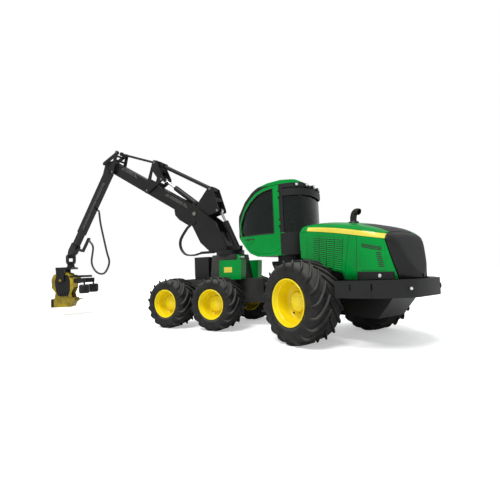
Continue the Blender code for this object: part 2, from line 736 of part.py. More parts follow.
def rear_lamps(roof_z):
    """The lamps round the cab's back, each square to one flat of the cab's outline from above."""
    length = CAB_NOSE - CAB_TAIL
    corners = [Vector((CAB_TAIL + along * length, out * CAB_HALF, roof_z - PILLAR_WIDTH / 2))
               for along, out in CAB_PLAN_SHARES]
    lamps = []
    for i in range(REAR_LAMPS):
        middle = (corners[i] + corners[i + 1]) / 2
        flat = corners[i + 1] - corners[i]
        out = Vector((-flat.y, flat.x, 0)).normalized()
        lamp = bar(middle - out * CAB_WALL * 1.6, middle + out * CAB_WALL / 2, LAMP_RADIUS * 0.8, 12)
        lamps += [lamp, mirrored(lamp)]
    return lamps


def cab(machine, finishes):
    frame = empty("cab", machine, (CAB_X, 0, 0), CAB_TURN)
    length = CAB_NOSE - CAB_TAIL
    height = CAB_HIGH - CAB_LOW
    wide = CAB_HALF * 1.3
    pillar_x = CAB_TAIL + DOOR_SHARES[0][0] * length
    door_out = cab_outline(DOOR_SHARES)
    window = cab_outline(WINDOW_SHARES)
    door_hole = prism(grown(door_out, DOOR_GAP), CAB_HALF * 0.68 - DOOR_GAP, wide)
    door_zone = prism(door_out, CAB_HALF * 0.68, wide)
    right_zone = prism(window, -wide, -CAB_HALF * 0.72)
    roof_z = CAB_LOW + height * 0.945
    seam = SEAT_GAP
    rear_window = block(CAB_TAIL - OVERRUN, pillar_x - PILLAR_WIDTH, -wide, wide,
                        CAB_BELT + seam, roof_z - PILLAR_WIDTH)
    wind_zone = [(CAB_NOSE + OVERRUN, CAB_BELT + PILLAR_WIDTH * 0.3), (CAB_NOSE + OVERRUN, CAB_HIGH),
                 (CAB_TAIL + length * 0.60, CAB_HIGH), (CAB_TAIL + length * 0.60, roof_z - PILLAR_WIDTH * 0.6),
                 (CAB_TAIL + length * 0.90, CAB_BELT + PILLAR_WIDTH * 0.3)]
    half_glass = CAB_HALF * 0.60
    windscreen = prism(wind_zone, -half_glass, half_glass)
    rim = CAB_WALL * 0.5

    shell_piece("cab_tub", frame, finishes["green"], [cab_zone(CAB_TAIL - OVERRUN, CAB_NOSE + OVERRUN,
                CAB_LOW - OVERRUN, CAB_BELT)],
                [door_hole, windscreen])
    pillars = shell_piece("cab_pillars", frame, finishes["green"],
                          [cab_zone(CAB_TAIL - OVERRUN, CAB_NOSE + OVERRUN, CAB_BELT + seam, roof_z)],
                          [door_hole, windscreen, rear_window, right_zone])
    place = (pillar_x, CAB_HALF)
    gap = PIN_GAP
    knuckles, bosses, pins, room, door_room, bores = [], [], [], [], [], []
    for share in HINGE_SHARES:
        low = CAB_LOW + height * share
        high = low + HINGE_HEIGHT
        far = HINGE_HEIGHT * 0.4
        knuckles.append(drum(low, high, HINGE_RADIUS, 16, "z", place))
        bores.append(drum(low - gap, high + gap, HINGE_RADIUS * 0.5 + gap, 16, "z", place))
        pins.append(drum(low - far / 2, high + far / 2, HINGE_RADIUS * 0.5, 16, "z", place))
        bosses += [drum(low - far, low - gap, HINGE_RADIUS, 16, "z", place),
                   drum(high + gap, high + far, HINGE_RADIUS, 16, "z", place)]
        room.append(drum(low - gap, high + gap, HINGE_RADIUS + 4 * gap, 16, "z", place))
        door_room += [drum(low - far - gap, low, HINGE_RADIUS + 4 * gap, 16, "z", place),
                      drum(high, high + far + gap, HINGE_RADIUS + 4 * gap, 16, "z", place)]
    boolean(pillars, helper("cab_hinge_room", room, frame), "DIFFERENCE")
    boolean(pillars, helper("cab_rear_lamps", rear_lamps(roof_z) + bosses, frame), "UNION")
    boolean(pillars, helper("cab_hinge_pins", pins, frame), "UNION")
    roof = shell_piece("cab_roof", frame, finishes["green"],
                       [cab_zone(CAB_TAIL - OVERRUN, CAB_NOSE + OVERRUN, roof_z + seam, CAB_HIGH + OVERRUN)],
                       [door_hole, windscreen])
    front_lamps = []
    lamp_x = CAB_TAIL + length * ROOF_LAMP_SHARE
    for i in range(ROOF_LAMPS):
        y = CAB_HALF * 1.2 * (i / (ROOF_LAMPS - 1) - 0.5)
        z = CAB_HIGH - LAMP_RADIUS * 0.7
        front_lamps.append(bar((lamp_x - LAMP_RADIUS * 3, y, z), (lamp_x + LAMP_RADIUS, y, z), LAMP_RADIUS, 12))
    boolean(roof, helper("cab_roof_lamps", front_lamps, frame), "UNION")
    glass_in = rim + SEAT_GAP
    shrunk = prism(grown(window, -2 * SEAT_GAP), -wide, -CAB_HALF * 0.72 - SEAT_GAP)
    shell_piece("cab_window_right", frame, finishes["glass"], [shrunk], wall=GLASS, inset=glass_in)
    rear_pane = block(CAB_TAIL - OVERRUN, pillar_x - PILLAR_WIDTH - seam, -wide, wide,
                      CAB_BELT + 2 * seam, roof_z - PILLAR_WIDTH - seam)
    shell_piece("cab_rear_glass", frame, finishes["glass"], [rear_pane], wall=GLASS, inset=glass_in)
    front_pane = prism([(x + seam, z) for x, z in wind_zone], -half_glass + seam, half_glass - seam)
    shell_piece("cab_windscreen", frame, finishes["glass"], [front_pane], wall=GLASS, inset=glass_in)

    seat_half = SEAT_WIDTH / 2
    floor = CAB_LOW + CAB_WALL + SEAT_GAP
    cushion = floor + SEAT_WIDTH * 0.8
    deep = SEAT_WIDTH * 0.18
    solid("seat", frame, finishes["dark"], [
        block(-seat_half, seat_half, -seat_half, seat_half, cushion, cushion + deep),
        block(-seat_half, -seat_half + deep, -seat_half, seat_half, cushion, cushion + SEAT_WIDTH * 1.5),
        drum(floor, cushion + deep / 2, seat_half * 0.5, 16, "z"),
    ])
    hinge = empty("door", frame, (pillar_x, CAB_HALF, 0))
    door_frame = empty("door_shape", hinge, (-pillar_x, -CAB_HALF, 0))
    upper = prism(window, CAB_HALF * 0.72, wide)
    door = shell_piece("cab_door", door_frame, finishes["green"], [door_zone], [upper], wall=DOOR_WALL)
    boolean(door, helper("cab_door_hinge_room", door_room, door_frame), "DIFFERENCE")
    boolean(door, helper("cab_door_knuckles", knuckles, door_frame), "UNION")
    boolean(door, helper("cab_door_bores", bores, door_frame), "DIFFERENCE")
    pane = prism(grown(window, -2 * SEAT_GAP), CAB_HALF * 0.72 + SEAT_GAP, wide)
    shell_piece("door_glass", door_frame, finishes["glass"], [pane], wall=GLASS, inset=glass_in)
    return frame


def front_frame(machine, finishes):
    frame = empty("front_frame", machine, (JOINT_X, 0, 0), STEER_TURN)
    half = FRONT_HALF
    low = JOINT_LOW + JOINT_LUG + RUN_GAP * 0.5
    high = JOINT_HIGH - JOINT_LUG - RUN_GAP * 0.5
    neck = JOINT_RADIUS * 0.9
    back = JOINT_RADIUS * 2
    body = [
        (back, low), (NOSE_X - FRONT_RIM, FRONT_LOW), (NOSE_X, DECK - BEAM_DEPTH), (NOSE_X, DECK + RUN_GAP),
        (NOSE_X - FRONT_RIM, DECK + RUN_GAP), (NOSE_X - FRONT_RIM, DECK), (back, DECK),
    ]
    tower_half = BOX_FRONT - BOX_REAR
    tower = [
        (SLEW_X - tower_half * 0.75, DECK - RUN_GAP), (SLEW_X + tower_half * 0.70, DECK - RUN_GAP),
        (SLEW_X + RING_RADIUS, TOWER_TOP - RUN_GAP), (SLEW_X + RING_RADIUS, TOWER_TOP),
        (SLEW_X - RING_RADIUS, TOWER_TOP), (SLEW_X - RING_RADIUS, TOWER_TOP - RUN_GAP),
    ]
    axle_z = FRONT_RADIUS + BEAM_DEPTH * 0.45
    shapes = [
        prism(body, -half, half),
        prism(slot_outline((0, 0), (back, 0), 2 * neck), low, high, "z"),
        prism(tower, -half + RUN_GAP, half - RUN_GAP),
        moved(drum(-BEAM_INNER + SEAT_GAP, BEAM_INNER - SEAT_GAP, BEAM_DEPTH * 0.4, 24), (BOGIE_X, 0, axle_z)),
    ]
    joint_bore = drum(low - OVERRUN, high + OVERRUN, JOINT_RADIUS * 0.4 + PIN_GAP, PIN_SIDES, "z")
    solid("front_chassis", frame, finishes["grey"], shapes, [joint_bore])

    reach = BOGIE_SPAN / 2
    disc_y = FRONT_TRACK + (FRONT_WIDTH / 2) * 0.62 - FRONT_DISH - RIM_WALL - SEAT_GAP
    depth = BEAM_DEPTH
    for side, label in ((1, "left"), (-1, "right")):
        beam = [
            (-reach - depth * 0.5, FRONT_RADIUS - depth * 0.2), (-reach, FRONT_RADIUS - depth * 0.5),
            (reach, FRONT_RADIUS - depth * 0.5), (reach + depth * 0.5, FRONT_RADIUS - depth * 0.2),
            (reach + depth * 0.5, FRONT_RADIUS + depth * 0.2), (reach, FRONT_RADIUS + depth * 0.5),
            (depth, FRONT_RADIUS + depth * 0.95), (-depth, FRONT_RADIUS + depth * 0.95),
            (-reach, FRONT_RADIUS + depth * 0.5), (-reach - depth * 0.5, FRONT_RADIUS + depth * 0.2),
        ]
        beam = [(BOGIE_X + x, z) for x, z in beam]
        ys = sorted((side * BEAM_INNER, side * BEAM_OUTER))
        parts = [prism(beam, ys[0], ys[1])]
        for end in (-reach, reach):
            ys = sorted((side * (BEAM_INNER + RUN_GAP), side * disc_y))
            parts.append(moved(drum(ys[0], ys[1], HUB_RADIUS * 0.75), (BOGIE_X + end, 0, FRONT_RADIUS)))
        solid("bogie_" + label, frame, finishes["black"], parts)
        for end, where in ((reach, "front"), (-reach, "middle")):
            place = (BOGIE_X + end, side * FRONT_TRACK, FRONT_RADIUS)
            wheel(f"{where}_{label}", frame, place, FRONT_RADIUS, FRONT_WIDTH, FRONT_RIM, side, FRONT_DISH, finishes)
        box_side = [
            (BOX_REAR, BOX_HIGH), (BOX_REAR + BOX_OUTER * 0.05, BOX_LOW), (BOX_FRONT, BOX_LOW),
            (BOX_FRONT - BOX_OUTER * 0.03, BOX_HIGH),
        ]
        ys = sorted((side * (half - RUN_GAP + SEAT_GAP), side * BOX_OUTER))
        tank = [prism(box_side, ys[0], ys[1])]
        if side > 0:
            arch_x = (BOX_REAR + LAMP_RADIUS, BOX_REAR + LAMP_RADIUS * 2.4)
            arch_z = BOX_HIGH + LAMP_RADIUS * 2.6
            tank.append(block(arch_x[0], arch_x[1], ys[0] + SEAT_GAP, ys[1] - SEAT_GAP, BOX_HIGH - RUN_GAP, arch_z))
            for i in range(ARCH_LAMPS):
                y = ys[0] + (ys[1] - ys[0]) * (i + 0.5) / ARCH_LAMPS
                z = BOX_HIGH + LAMP_RADIUS * 1.3
                tank.append(bar((arch_x[0] - LAMP_RADIUS / 2, y, z), (arch_x[1] - RUN_GAP, y, z), LAMP_RADIUS * 0.75, 12))
        solid("side_tank_" + label, frame, finishes["green"], tank)

    valve = [
        (VALVE_REAR, DECK + SEAT_GAP), (VALVE_FRONT, DECK + SEAT_GAP), (VALVE_FRONT, VALVE_TOP - RUN_GAP),
        (VALVE_FRONT + RUN_GAP, VALVE_TOP), (VALVE_REAR, VALVE_TOP),
    ]
    solid("valve_housing", frame, finishes["black"], [prism(valve, -half, half)])
    return frame


def in_boom(name):
    along, above = PINS[name]
    return along, above


def crane(front, finishes):
    slew = empty("crane_slew", front, (SLEW_X, 0, 0))
    root = (ROOT_X - SLEW_X, ROOT_Z)
    ear_in = BOOM_HALF + 2 * PLATE_GAP + PLATE + PLATE_GAP
    ear_out = ear_in + 2 * PLATE
    low = TOWER_TOP + SEAT_GAP
    turret_top = low + RING_RADIUS * 0.30
    foot = (LIFT_FOOT_X - SLEW_X, LIFT_FOOT_Z)
    head_r = RING_RADIUS * 0.45
    pillar = [
        (-RING_RADIUS * 0.25, low + RING_RADIUS * 0.15), (RING_RADIUS * 1.2, low + RING_RADIUS * 0.22),
        (RING_RADIUS * 2.1, low + RING_RADIUS * 1.0), (root[0] + head_r, ROOT_Z - head_r * 1.2),
        (root[0] + head_r, ROOT_Z + head_r * 0.2), (root[0] + head_r * 0.4, ROOT_Z + head_r * 0.9),
        (root[0] - head_r * 0.6, ROOT_Z + head_r * 0.8), (RING_RADIUS * 0.75, low + RING_RADIUS * 2.4),
    ]
    swing = RING_RADIUS * 1.5
    lug = [
        (foot[0] - PIN_RADIUS * 2, foot[1] + PIN_RADIUS * 1.5), (foot[0] - PIN_RADIUS * 2, low + RING_RADIUS * 0.1),
        (0, low + RING_RADIUS * 0.1), (0, foot[1] + PIN_RADIUS * 1.5),
    ]
    rod_gap = BARREL_RADIUS + PLATE_GAP
    shapes = [
        drum(low, turret_top, RING_RADIUS, 32, "z"),
        prism(pillar, -ear_out, ear_out),
        prism(lug, -rod_gap - PLATE, rod_gap + PLATE),
    ]
    slot = ear_in
    cuts = [
        moved(drum(-slot, slot, swing, 32), (root[0], 0, ROOT_Z)),
        block(foot[0] - RING_RADIUS, root[0], -slot, slot, ROOT_Z - swing, ROOT_Z + swing * 2),
        prism([(foot[0] - RING_RADIUS, foot[1] - PIN_RADIUS * 2), (foot[0] + PIN_RADIUS * 2.5, foot[1] - PIN_RADIUS * 2),
               (RING_RADIUS * 1.15, ROOT_Z - swing * 0.5), (foot[0] - RING_RADIUS, ROOT_Z)], -rod_gap, rod_gap),
    ]
    pins = [pin(root, ear_out + PLATE / 2), pin(foot, rod_gap + PLATE)]
    for y, label in zip(COLUMN_HOSE_Y, "ab"):
        upper, start = gland(COLUMN_HOSE_TOP, COLUMN_HOSE[0], y)
        lower, end = gland(COLUMN_HOSE_LOW, COLUMN_HOSE[-1], y)
        pins += [upper, lower]
        bow = [(x, y, z) for x, z in COLUMN_HOSE]
        hose("hose_column_" + label, slew, finishes["rubber"], start + bow + end[::-1])
    socket = BOOM_HALF * 0.4
    for place, back in ((COLUMN_HOSE_TOP, 3), (COLUMN_HOSE_LOW, 7)):
        shapes.append(block(place[0] - socket * back, place[0] + HOSE_RADIUS, ear_in, COLUMN_HOSE_Y[1] + HOSE_RADIUS * 1.3,
                            place[1] - HOSE_RADIUS * 1.4, place[1] + HOSE_RADIUS * 1.4))
    solid("crane_pillar", slew, finishes["black"], shapes, cuts, adds=pins)

    boom = empty("boom", slew, (root[0], 0, ROOT_Z), 0, BOOM_RISE)
    eye = Matrix.Rotation(math.radians(BOOM_RISE), 2) @ Vector(PINS["rocker_rod"])
    eye_place = (root[0] + eye.x, ROOT_Z + eye.y)
    cylinder("lift", slew, foot, eye_place, finishes, LIFT_SHARE, LIFT_ROD_SHARE)

    tip = PINS["stick"]
    depth = BOOM_DEPTH
    beam = [
        (-depth * 0.45, -depth * 0.10), (-depth * 0.25, -depth * 0.65), (depth * 0.45, -depth * 1.10),
        (depth * 1.45, -depth * 1.10), (depth * 2.0, -depth * 0.95), (depth * 2.3, -depth * 0.58),
        (tip[0] - depth * 0.9, -depth * 0.60), (tip[0] - depth * 0.1, -depth * 0.45),
        (tip[0] + depth * 0.25, -depth * 0.20), (tip[0] + depth * 0.30, depth * 0.15),
        (tip[0] + depth * 0.05, depth * 0.38), (tip[0] - depth * 1.1, depth * 0.38),
        (depth * 2.6, depth * 0.40), (depth * 1.2, depth * 0.48), (depth * 0.25, depth * 0.50),
        (-depth * 0.25, depth * 0.42), (-depth * 0.45, depth * 0.15),
    ]
    foot_pin = PINS["luff_foot"]
    luff_lug = slot_outline((foot_pin[0], 0), foot_pin, PIN_RADIUS * 3)
    boom_shapes = [prism(beam, -BOOM_HALF, BOOM_HALF), prism(luff_lug, -BOOM_HALF, BOOM_HALF)]
    ear = rod_gap
    room = BARREL_RADIUS * 1.4
    boom_cuts = [block(foot_pin[0] - room, foot_pin[0] + depth * 3, -ear, ear, foot_pin[1] - room, depth)]
    tip_slot = STICK_WIDTH / 2 + PLATE_GAP
    boom_cuts.append(prism([(tip[0] - depth * 0.75, -depth * 0.9), (tip[0] + depth, -depth * 0.9),
                            (tip[0] + depth, depth), (tip[0] - depth * 0.75, depth)], -tip_slot, tip_slot))
    boom_cuts += [bore((0, 0), BOOM_HALF), bore(tip, BOOM_HALF)]
    lever_side = BOOM_HALF + PLATE_GAP + PLATE
    idler_side = lever_side + PLATE_GAP + PLATE
    pins = [pin(foot_pin, BOOM_HALF), pin(PINS["lever_foot"], lever_side), pin(PINS["idler_foot"], idler_side)]
    solid("main_boom", boom, finishes["black"], boom_shapes, boom_cuts, adds=pins)

    rocker_top = PINS["rocker_top"]
    rod_eye = PINS["rocker_rod"]
    inner = BOOM_HALF + PLATE_GAP
    plate = inner + PLATE
    side = [
        (depth * 0.45, -depth * 0.12), (depth * 0.40, depth * 0.30), (rocker_top[0] + depth * 0.20, rocker_top[1]),
        (rocker_top[0] + depth * 0.12, rocker_top[1] + depth * 0.18), (rocker_top[0] - depth * 0.15, rocker_top[1] + depth * 0.16),
        (rod_eye[0] - depth * 0.05, rod_eye[1] + depth * 0.18), (rod_eye[0] - depth * 0.18, rod_eye[1]),
        (rod_eye[0], rod_eye[1] - depth * 0.18), (-depth * 0.25, -depth * 0.35), (depth * 0.15, -depth * 0.40),
    ]
    bridge = (rocker_top[0] * 0.5 + rod_eye[0] * 0.5, rocker_top[1] * 0.5 + rod_eye[1] * 0.5)
    rocker_shapes = [
        prism(side, inner, plate), prism(side, -plate, -inner),
        moved(drum(-inner - PLATE / 2, inner + PLATE / 2, PIN_RADIUS * 1.6), (bridge[0], 0, bridge[1])),
    ]
    solid("rocker", boom, finishes["black"], rocker_shapes, [bore((0, 0), plate)])

    lever(boom, finishes)
    links(boom, finishes)
    luff_foot = PINS["luff_foot"]
    cylinder("luff", boom, luff_foot, PINS["lever_rod"], finishes, LUFF_SHARE, LUFF_ROD_SHARE)
    return slew, boom


BARREL_RADIUS = 0.085
ROD_RADIUS = 0.04
LIFT_SHARE = 0.70
LIFT_ROD_SHARE = 0.315
LUFF_SHARE = 0.66
LUFF_ROD_SHARE = 0.45
LINK_HALF = 0.045
FORK_HALF = 0.10
STICK_LUG = 0.105


def cylinder(label, frame, foot, eye, finishes, barrel_share, rod_share):
    """A hydraulic cylinder from its foot pin to its rod's eye: a bored barrel and a rod, each in its own frame."""
    span = Vector(eye) - Vector(foot)
    rise = math.degrees(math.atan2(span.y, span.x))
    place = empty(label + "_cylinder", frame, (foot[0], 0, foot[1]), 0, rise)
    length = span.length
    barrel = length * barrel_share
    hole = ROD_RADIUS + PIN_GAP
    eye_r = PIN_RADIUS * 1.5
    shapes = [
        turned([(eye_r * 0.5, 0), (eye_r * 0.5, BARREL_RADIUS), (barrel, BARREL_RADIUS), (barrel, 0)], 24, "x"),
        drum(-BARREL_RADIUS, BARREL_RADIUS, eye_r),
    ]
    cuts = [turned([(eye_r * 1.6, 0), (eye_r * 1.6, hole), (barrel + OVERRUN, hole), (barrel + OVERRUN, 0)], 16, "x"),
            bore((0, 0), BARREL_RADIUS)]
    solid(label + "_barrel", place, finishes["black"], shapes, cuts)
    start = length * rod_share
    rod = [
        turned([(start, 0), (start, ROD_RADIUS), (length, ROD_RADIUS), (length, 0)], 16, "x"),
        moved(drum(-LINK_HALF, LINK_HALF, eye_r), (length, 0, 0)),
    ]
    solid(label + "_rod", place, finishes["steel"], rod)
    return place


def lever(boom, finishes):
    """The A-shaped lever on the boom's back: two plates outside the boom, joined by two cross tubes."""
    foot, top, rod = (Vector(PINS[name]) for name in ("lever_foot", "lever_top", "lever_rod"))
    place = empty("boom_lever", boom, (foot.x, 0, foot.y))
    inner = BOOM_HALF + PLATE_GAP
    plate = inner + PLATE
    up, across = top - foot, rod - foot
    width = BOOM_DEPTH * 0.42
    outline = [
        (-width * 0.55, -width * 0.3), (width * 0.1, -width * 0.6), (width * 0.55, -width * 0.1),
        (up.x + width * 0.45, up.y - width * 0.3), (up.x + width * 0.4, up.y + width * 0.35),
        (up.x - width * 0.3, up.y + width * 0.45), (across.x - width * 0.25, across.y + width * 0.5),
        (across.x - width * 0.5, across.y), (across.x - width * 0.1, across.y - width * 0.5),
    ]
    hole = [
        (up.x * 0.30 - width * 0.15, up.y * 0.42), (up.x * 0.55 + width * 0.05, up.y * 0.70),
        (across.x * 0.55, across.y * 0.95), (across.x * 0.62, across.y * 0.72),
    ]
    shapes = [prism(outline, inner, plate), prism(outline, -plate, -inner)]
    tube = (up.x * 0.62 + across.x * 0.30, up.y * 0.62 + across.y * 0.18)
    shapes.append(moved(drum(-inner - PLATE / 2, inner + PLATE / 2, PIN_RADIUS * 1.2), (tube[0], 0, tube[1])))
    cuts = [prism(hole, -plate - OVERRUN, -inner + PLATE_GAP / 2), prism(hole, inner - PLATE_GAP / 2, plate + OVERRUN),
            bore((0, 0), plate)]
    solid("boom_lever", place, finishes["black"], shapes, cuts, adds=[pin(tuple(up), inner + PLATE / 2)])


def links(boom, finishes):
    """The two long links on the boom's back, the idler at its tip and the short link to the stick's crank."""
    lever_foot = Vector(PINS["lever_foot"])
    top, rocker_top = Vector(PINS["lever_top"]), Vector(PINS["rocker_top"])
    idler_foot, idler_top = Vector(PINS["idler_foot"]), Vector(PINS["idler_top"])
    crank = Vector(PINS["crank"])
    rise = math.degrees(math.atan2(rocker_top.y - top.y, rocker_top.x - top.x))
    rear = empty("rear_link", boom, (top.x, 0, top.y), 0, rise)
    length = (rocker_top - top).length
    thick = BOOM_DEPTH * 0.16
    fork = FORK_HALF
    fork_in = LINK_HALF + PLATE_GAP
    split = length * 0.10
    shapes = [
        turned([(split, 0), (split, thick), (length, thick * 0.9), (length, 0)], 20, "x"),
        moved(drum(-fork, fork, PIN_RADIUS * 1.9), (length, 0, 0)),
        prism([(-PIN_RADIUS * 1.8, -PIN_RADIUS), (-PIN_RADIUS, -PIN_RADIUS * 1.8), (split * 1.3, -PIN_RADIUS * 2),
               (split * 1.3, PIN_RADIUS * 2), (-PIN_RADIUS, PIN_RADIUS * 1.8), (-PIN_RADIUS * 1.8, PIN_RADIUS)],
              -fork, fork),
    ]
    cuts = [block(-OVERRUN, split * 0.75, -fork_in, fork_in, -OVERRUN, OVERRUN), bore((0, 0), fork)]
    solid("rear_link", rear, finishes["black"], shapes, cuts)

    rise = math.degrees(math.atan2(idler_top.y - top.y, idler_top.x - top.x))
    front = empty("front_link", boom, (top.x, 0, top.y), 0, rise)
    length = (idler_top - top).length
    shapes = [
        turned([(0, 0), (0, LINK_HALF * 0.85), (length, LINK_HALF * 0.85), (length, 0)], 16, "x"),
        drum(-LINK_HALF, LINK_HALF, PIN_RADIUS * 1.5),
        moved(drum(-LINK_HALF, LINK_HALF, PIN_RADIUS * 1.5), (length, 0, 0)),
    ]
    solid("front_link", front, finishes["black"], shapes, [bore((0, 0), LINK_HALF)])

    inner = BOOM_HALF + PLATE_GAP
    plate = inner + PLATE
    idler = empty("elbow_idler", boom, (idler_foot.x, 0, idler_foot.y))
    span = idler_top - idler_foot
    outline = slot_outline((0, 0), tuple(span), BOOM_DEPTH * 0.42, BOOM_DEPTH * 0.32)
    middle = span * 0.62
    outer = plate + PLATE_GAP
    shapes = [
        prism(outline, outer, outer + PLATE), prism(outline, -outer - PLATE, -outer),
        moved(drum(-outer - PLATE / 2, outer + PLATE / 2, PIN_RADIUS * 0.8), (middle.x, 0, middle.y)),
    ]
    solid("elbow_idler", idler, finishes["black"], shapes, [bore((0, 0), outer)],
          adds=stubs(tuple(span), inner, outer + PLATE / 2))

    rise = math.degrees(math.atan2(crank.y - idler_top.y, crank.x - idler_top.x))
    short = empty("elbow_link", boom, (idler_top.x, 0, idler_top.y), 0, rise)
    length = (crank - idler_top).length
    outline = slot_outline((0, 0), (length, 0), BOOM_DEPTH * 0.32)
    shapes = [
        prism(outline, inner, plate), prism(outline, -plate, -inner),
        moved(drum(-inner - PLATE / 2, inner + PLATE / 2, PIN_RADIUS * 0.8), (length * 0.22, 0, 0)),
    ]
    solid("elbow_link", short, finishes["black"], shapes, [bore((0, 0), plate)])


def stick(boom, finishes):
    root = PINS["stick"]
    frame = empty("stick", boom, (root[0], 0, root[1]), 0, -STICK_DROP)
    crank = Matrix.Rotation(math.radians(STICK_DROP), 2) @ (Vector(PINS["crank"]) - Vector(root))
    depth = STICK_DEPTH
    half = STICK_WIDTH / 2
    axis = depth * 0.45
    heel = depth * 0.9
    outline = [
        (heel, axis - depth / 2), (STICK_OUTER, axis - depth / 2), (STICK_OUTER, axis + depth / 2),
        (heel, axis + depth / 2),
    ]
    head_plate = [
        (-depth * 0.45, -depth * 0.20), (0, -depth * 0.45), (heel * 1.6, axis - depth / 2),
        (heel * 2.6, axis + depth / 2), (crank.x + depth * 0.35, crank.y + depth * 0.15),
        (crank.x, crank.y + depth * 0.3), (crank.x - depth * 0.3, crank.y + depth * 0.1),
        (-depth * 0.5, depth * 0.25),
    ]
    lug = STICK_LUG - PLATE_GAP
    shapes = [prism(outline, -half, half), prism(head_plate, -lug, lug)]
    inner = STICK_WALL
    cuts = [block(heel * 2.2, STICK_OUTER + OVERRUN, -half + inner, half - inner,
                  axis - depth / 2 + inner, axis + depth / 2 - inner)]
    flange = (HOSE_FLANGE_ALONG, HOSE_FLANGE_OUT)
    shapes.append(block(flange[0] - HOSE_RADIUS, flange[0] + HOSE_RADIUS, -HOSE_RADIUS, HOSE_RADIUS,
                        flange[1] - HOSE_RADIUS, axis - depth * 0.45))
    upper, hose_start = gland(flange, STICK_HOSE[0])
    solid("stick", frame, finishes["black"], shapes, cuts, adds=[pin((0, 0), BOOM_HALF), upper])
    slide = empty("telescope", frame, (0, 0, 0))
    start = STICK_OUTER - TELESCOPE_OVERLAP
    clear = inner + PIN_GAP
    beam = block(start, STICK_LENGTH - TIP_EYE * 0.5, -half + clear, half - clear,
                 axis - depth / 2 + clear, axis + depth / 2 - clear)
    nose_start = STICK_LENGTH - NOSE_LENGTH
    nose = [
        (nose_start, axis - depth * 0.5), (nose_start + depth * 0.3, axis - depth * 0.58),
        (STICK_LENGTH - depth, axis - depth * 0.55), (STICK_LENGTH - depth * 0.4, axis - TIP_EYE),
        (STICK_LENGTH, axis - TIP_EYE), (STICK_LENGTH + TIP_EYE, axis), (STICK_LENGTH, axis + TIP_EYE),
        (STICK_LENGTH - depth * 0.8, axis + depth * 0.6), (nose_start, axis + depth * 0.55),
    ]
    grip = HOSE_CLAMP
    thick = HOSE_RADIUS * 0.7
    clamp = prism([(grip[0] - HOSE_RADIUS * 2, grip[1] - thick), (nose_start, grip[1] - thick),
                   (nose_start + depth * 0.5, axis - depth * 0.45), (nose_start + depth * 0.2, axis - depth * 0.45),
                   (nose_start - depth * 0.2, grip[1] + thick), (grip[0] - HOSE_RADIUS * 2, grip[1] + thick)],
                  -HOSE_RADIUS * 2.5, HOSE_RADIUS * 2.5)
    eye = bore((STICK_LENGTH, axis), half)
    lower, hose_end = gland((grip[0], grip[1]), STICK_HOSE[-1])
    solid("stick_extension", slide, finishes["black"], [beam, prism(nose, -half, half), clamp], [eye],
          adds=[lower])
    hang = [(along, 0, out) for along, out in STICK_HOSE]
    hose("hose_stick", frame, finishes["rubber"], hose_start + hang + hose_end[::-1])
    return frame, slide, axis


HOSE_CLAMP = (2.96, -0.37)
NOSE_LENGTH = 0.58
GLAND_LENGTH = 0.05
HOSE_FLANGE_ALONG = 1.80
HOSE_FLANGE_OUT = -0.25
# The feed hose to the head hangs in a loop beside the stick: along the stick from its root pin, and off its axis.
STICK_HOSE = [
    (2.153, -0.650), (2.733, -1.483), (2.978, -1.852), (3.369, -1.904), (3.597, -1.726), (3.684, -1.388),
    (3.548, -1.041), (3.067, -0.780),
]
# The two hoses that bow out ahead of the crane's column, in x and z from its turning axis.
COLUMN_HOSE = [(1.36, 2.78), (1.60, 2.48), (1.60, 2.22), (1.42, 2.02), (1.12, 1.98)]
COLUMN_HOSE_Y = (0.232, 0.292)
COLUMN_HOSE_TOP = (1.16, 2.93)
COLUMN_HOSE_LOW = (0.80, 2.03)
HOSE_STEPS = 4


# The head from the side: share of its depth ahead of its tilt pin, share of its height above that pin.
CHEEK_SHARES = [
    (-0.415, 0.04), (-0.33, 0.15), (-0.10, 0.225), (0.12, 0.236), (0.36, 0.19), (0.47, 0.10), (0.56, 0.06),
    (0.56, -0.22), (0.45, -0.36), (0.50, -0.486), (-0.28, -0.486), (-0.25, -0.33), (-0.415, -0.20),
]
CHEEK_WINDOW_SHARES = [(-0.22, -0.02), (0.02, -0.12), (0.34, -0.10), (0.34, -0.30), (0.24, -0.41), (-0.14, -0.41)]
CORE_SHARES = [
    (-0.22, 0.02), (-0.12, 0.17), (0.18, 0.19), (0.34, 0.08), (0.37, -0.20), (0.30, -0.46), (-0.16, -0.46),
    (-0.25, -0.28),
]
SAW_BOX_SHARES = [
    (-0.44, -0.70), (-0.44, -0.56), (-0.32, -0.4863), (0.60, -0.4863), (0.62, -0.57), (0.50, -0.64),
    (0.46, -0.736), (-0.36, -0.736),
]
SAW_SPIKE_SHARES = [(0.50, -0.490), (0.92, -0.535), (0.94, -0.545), (0.50, -0.57)]


def head_side(shares, low, high):
    return prism(scaled(shares, HEAD_DEPTH, HEAD_HEIGHT), low, high)


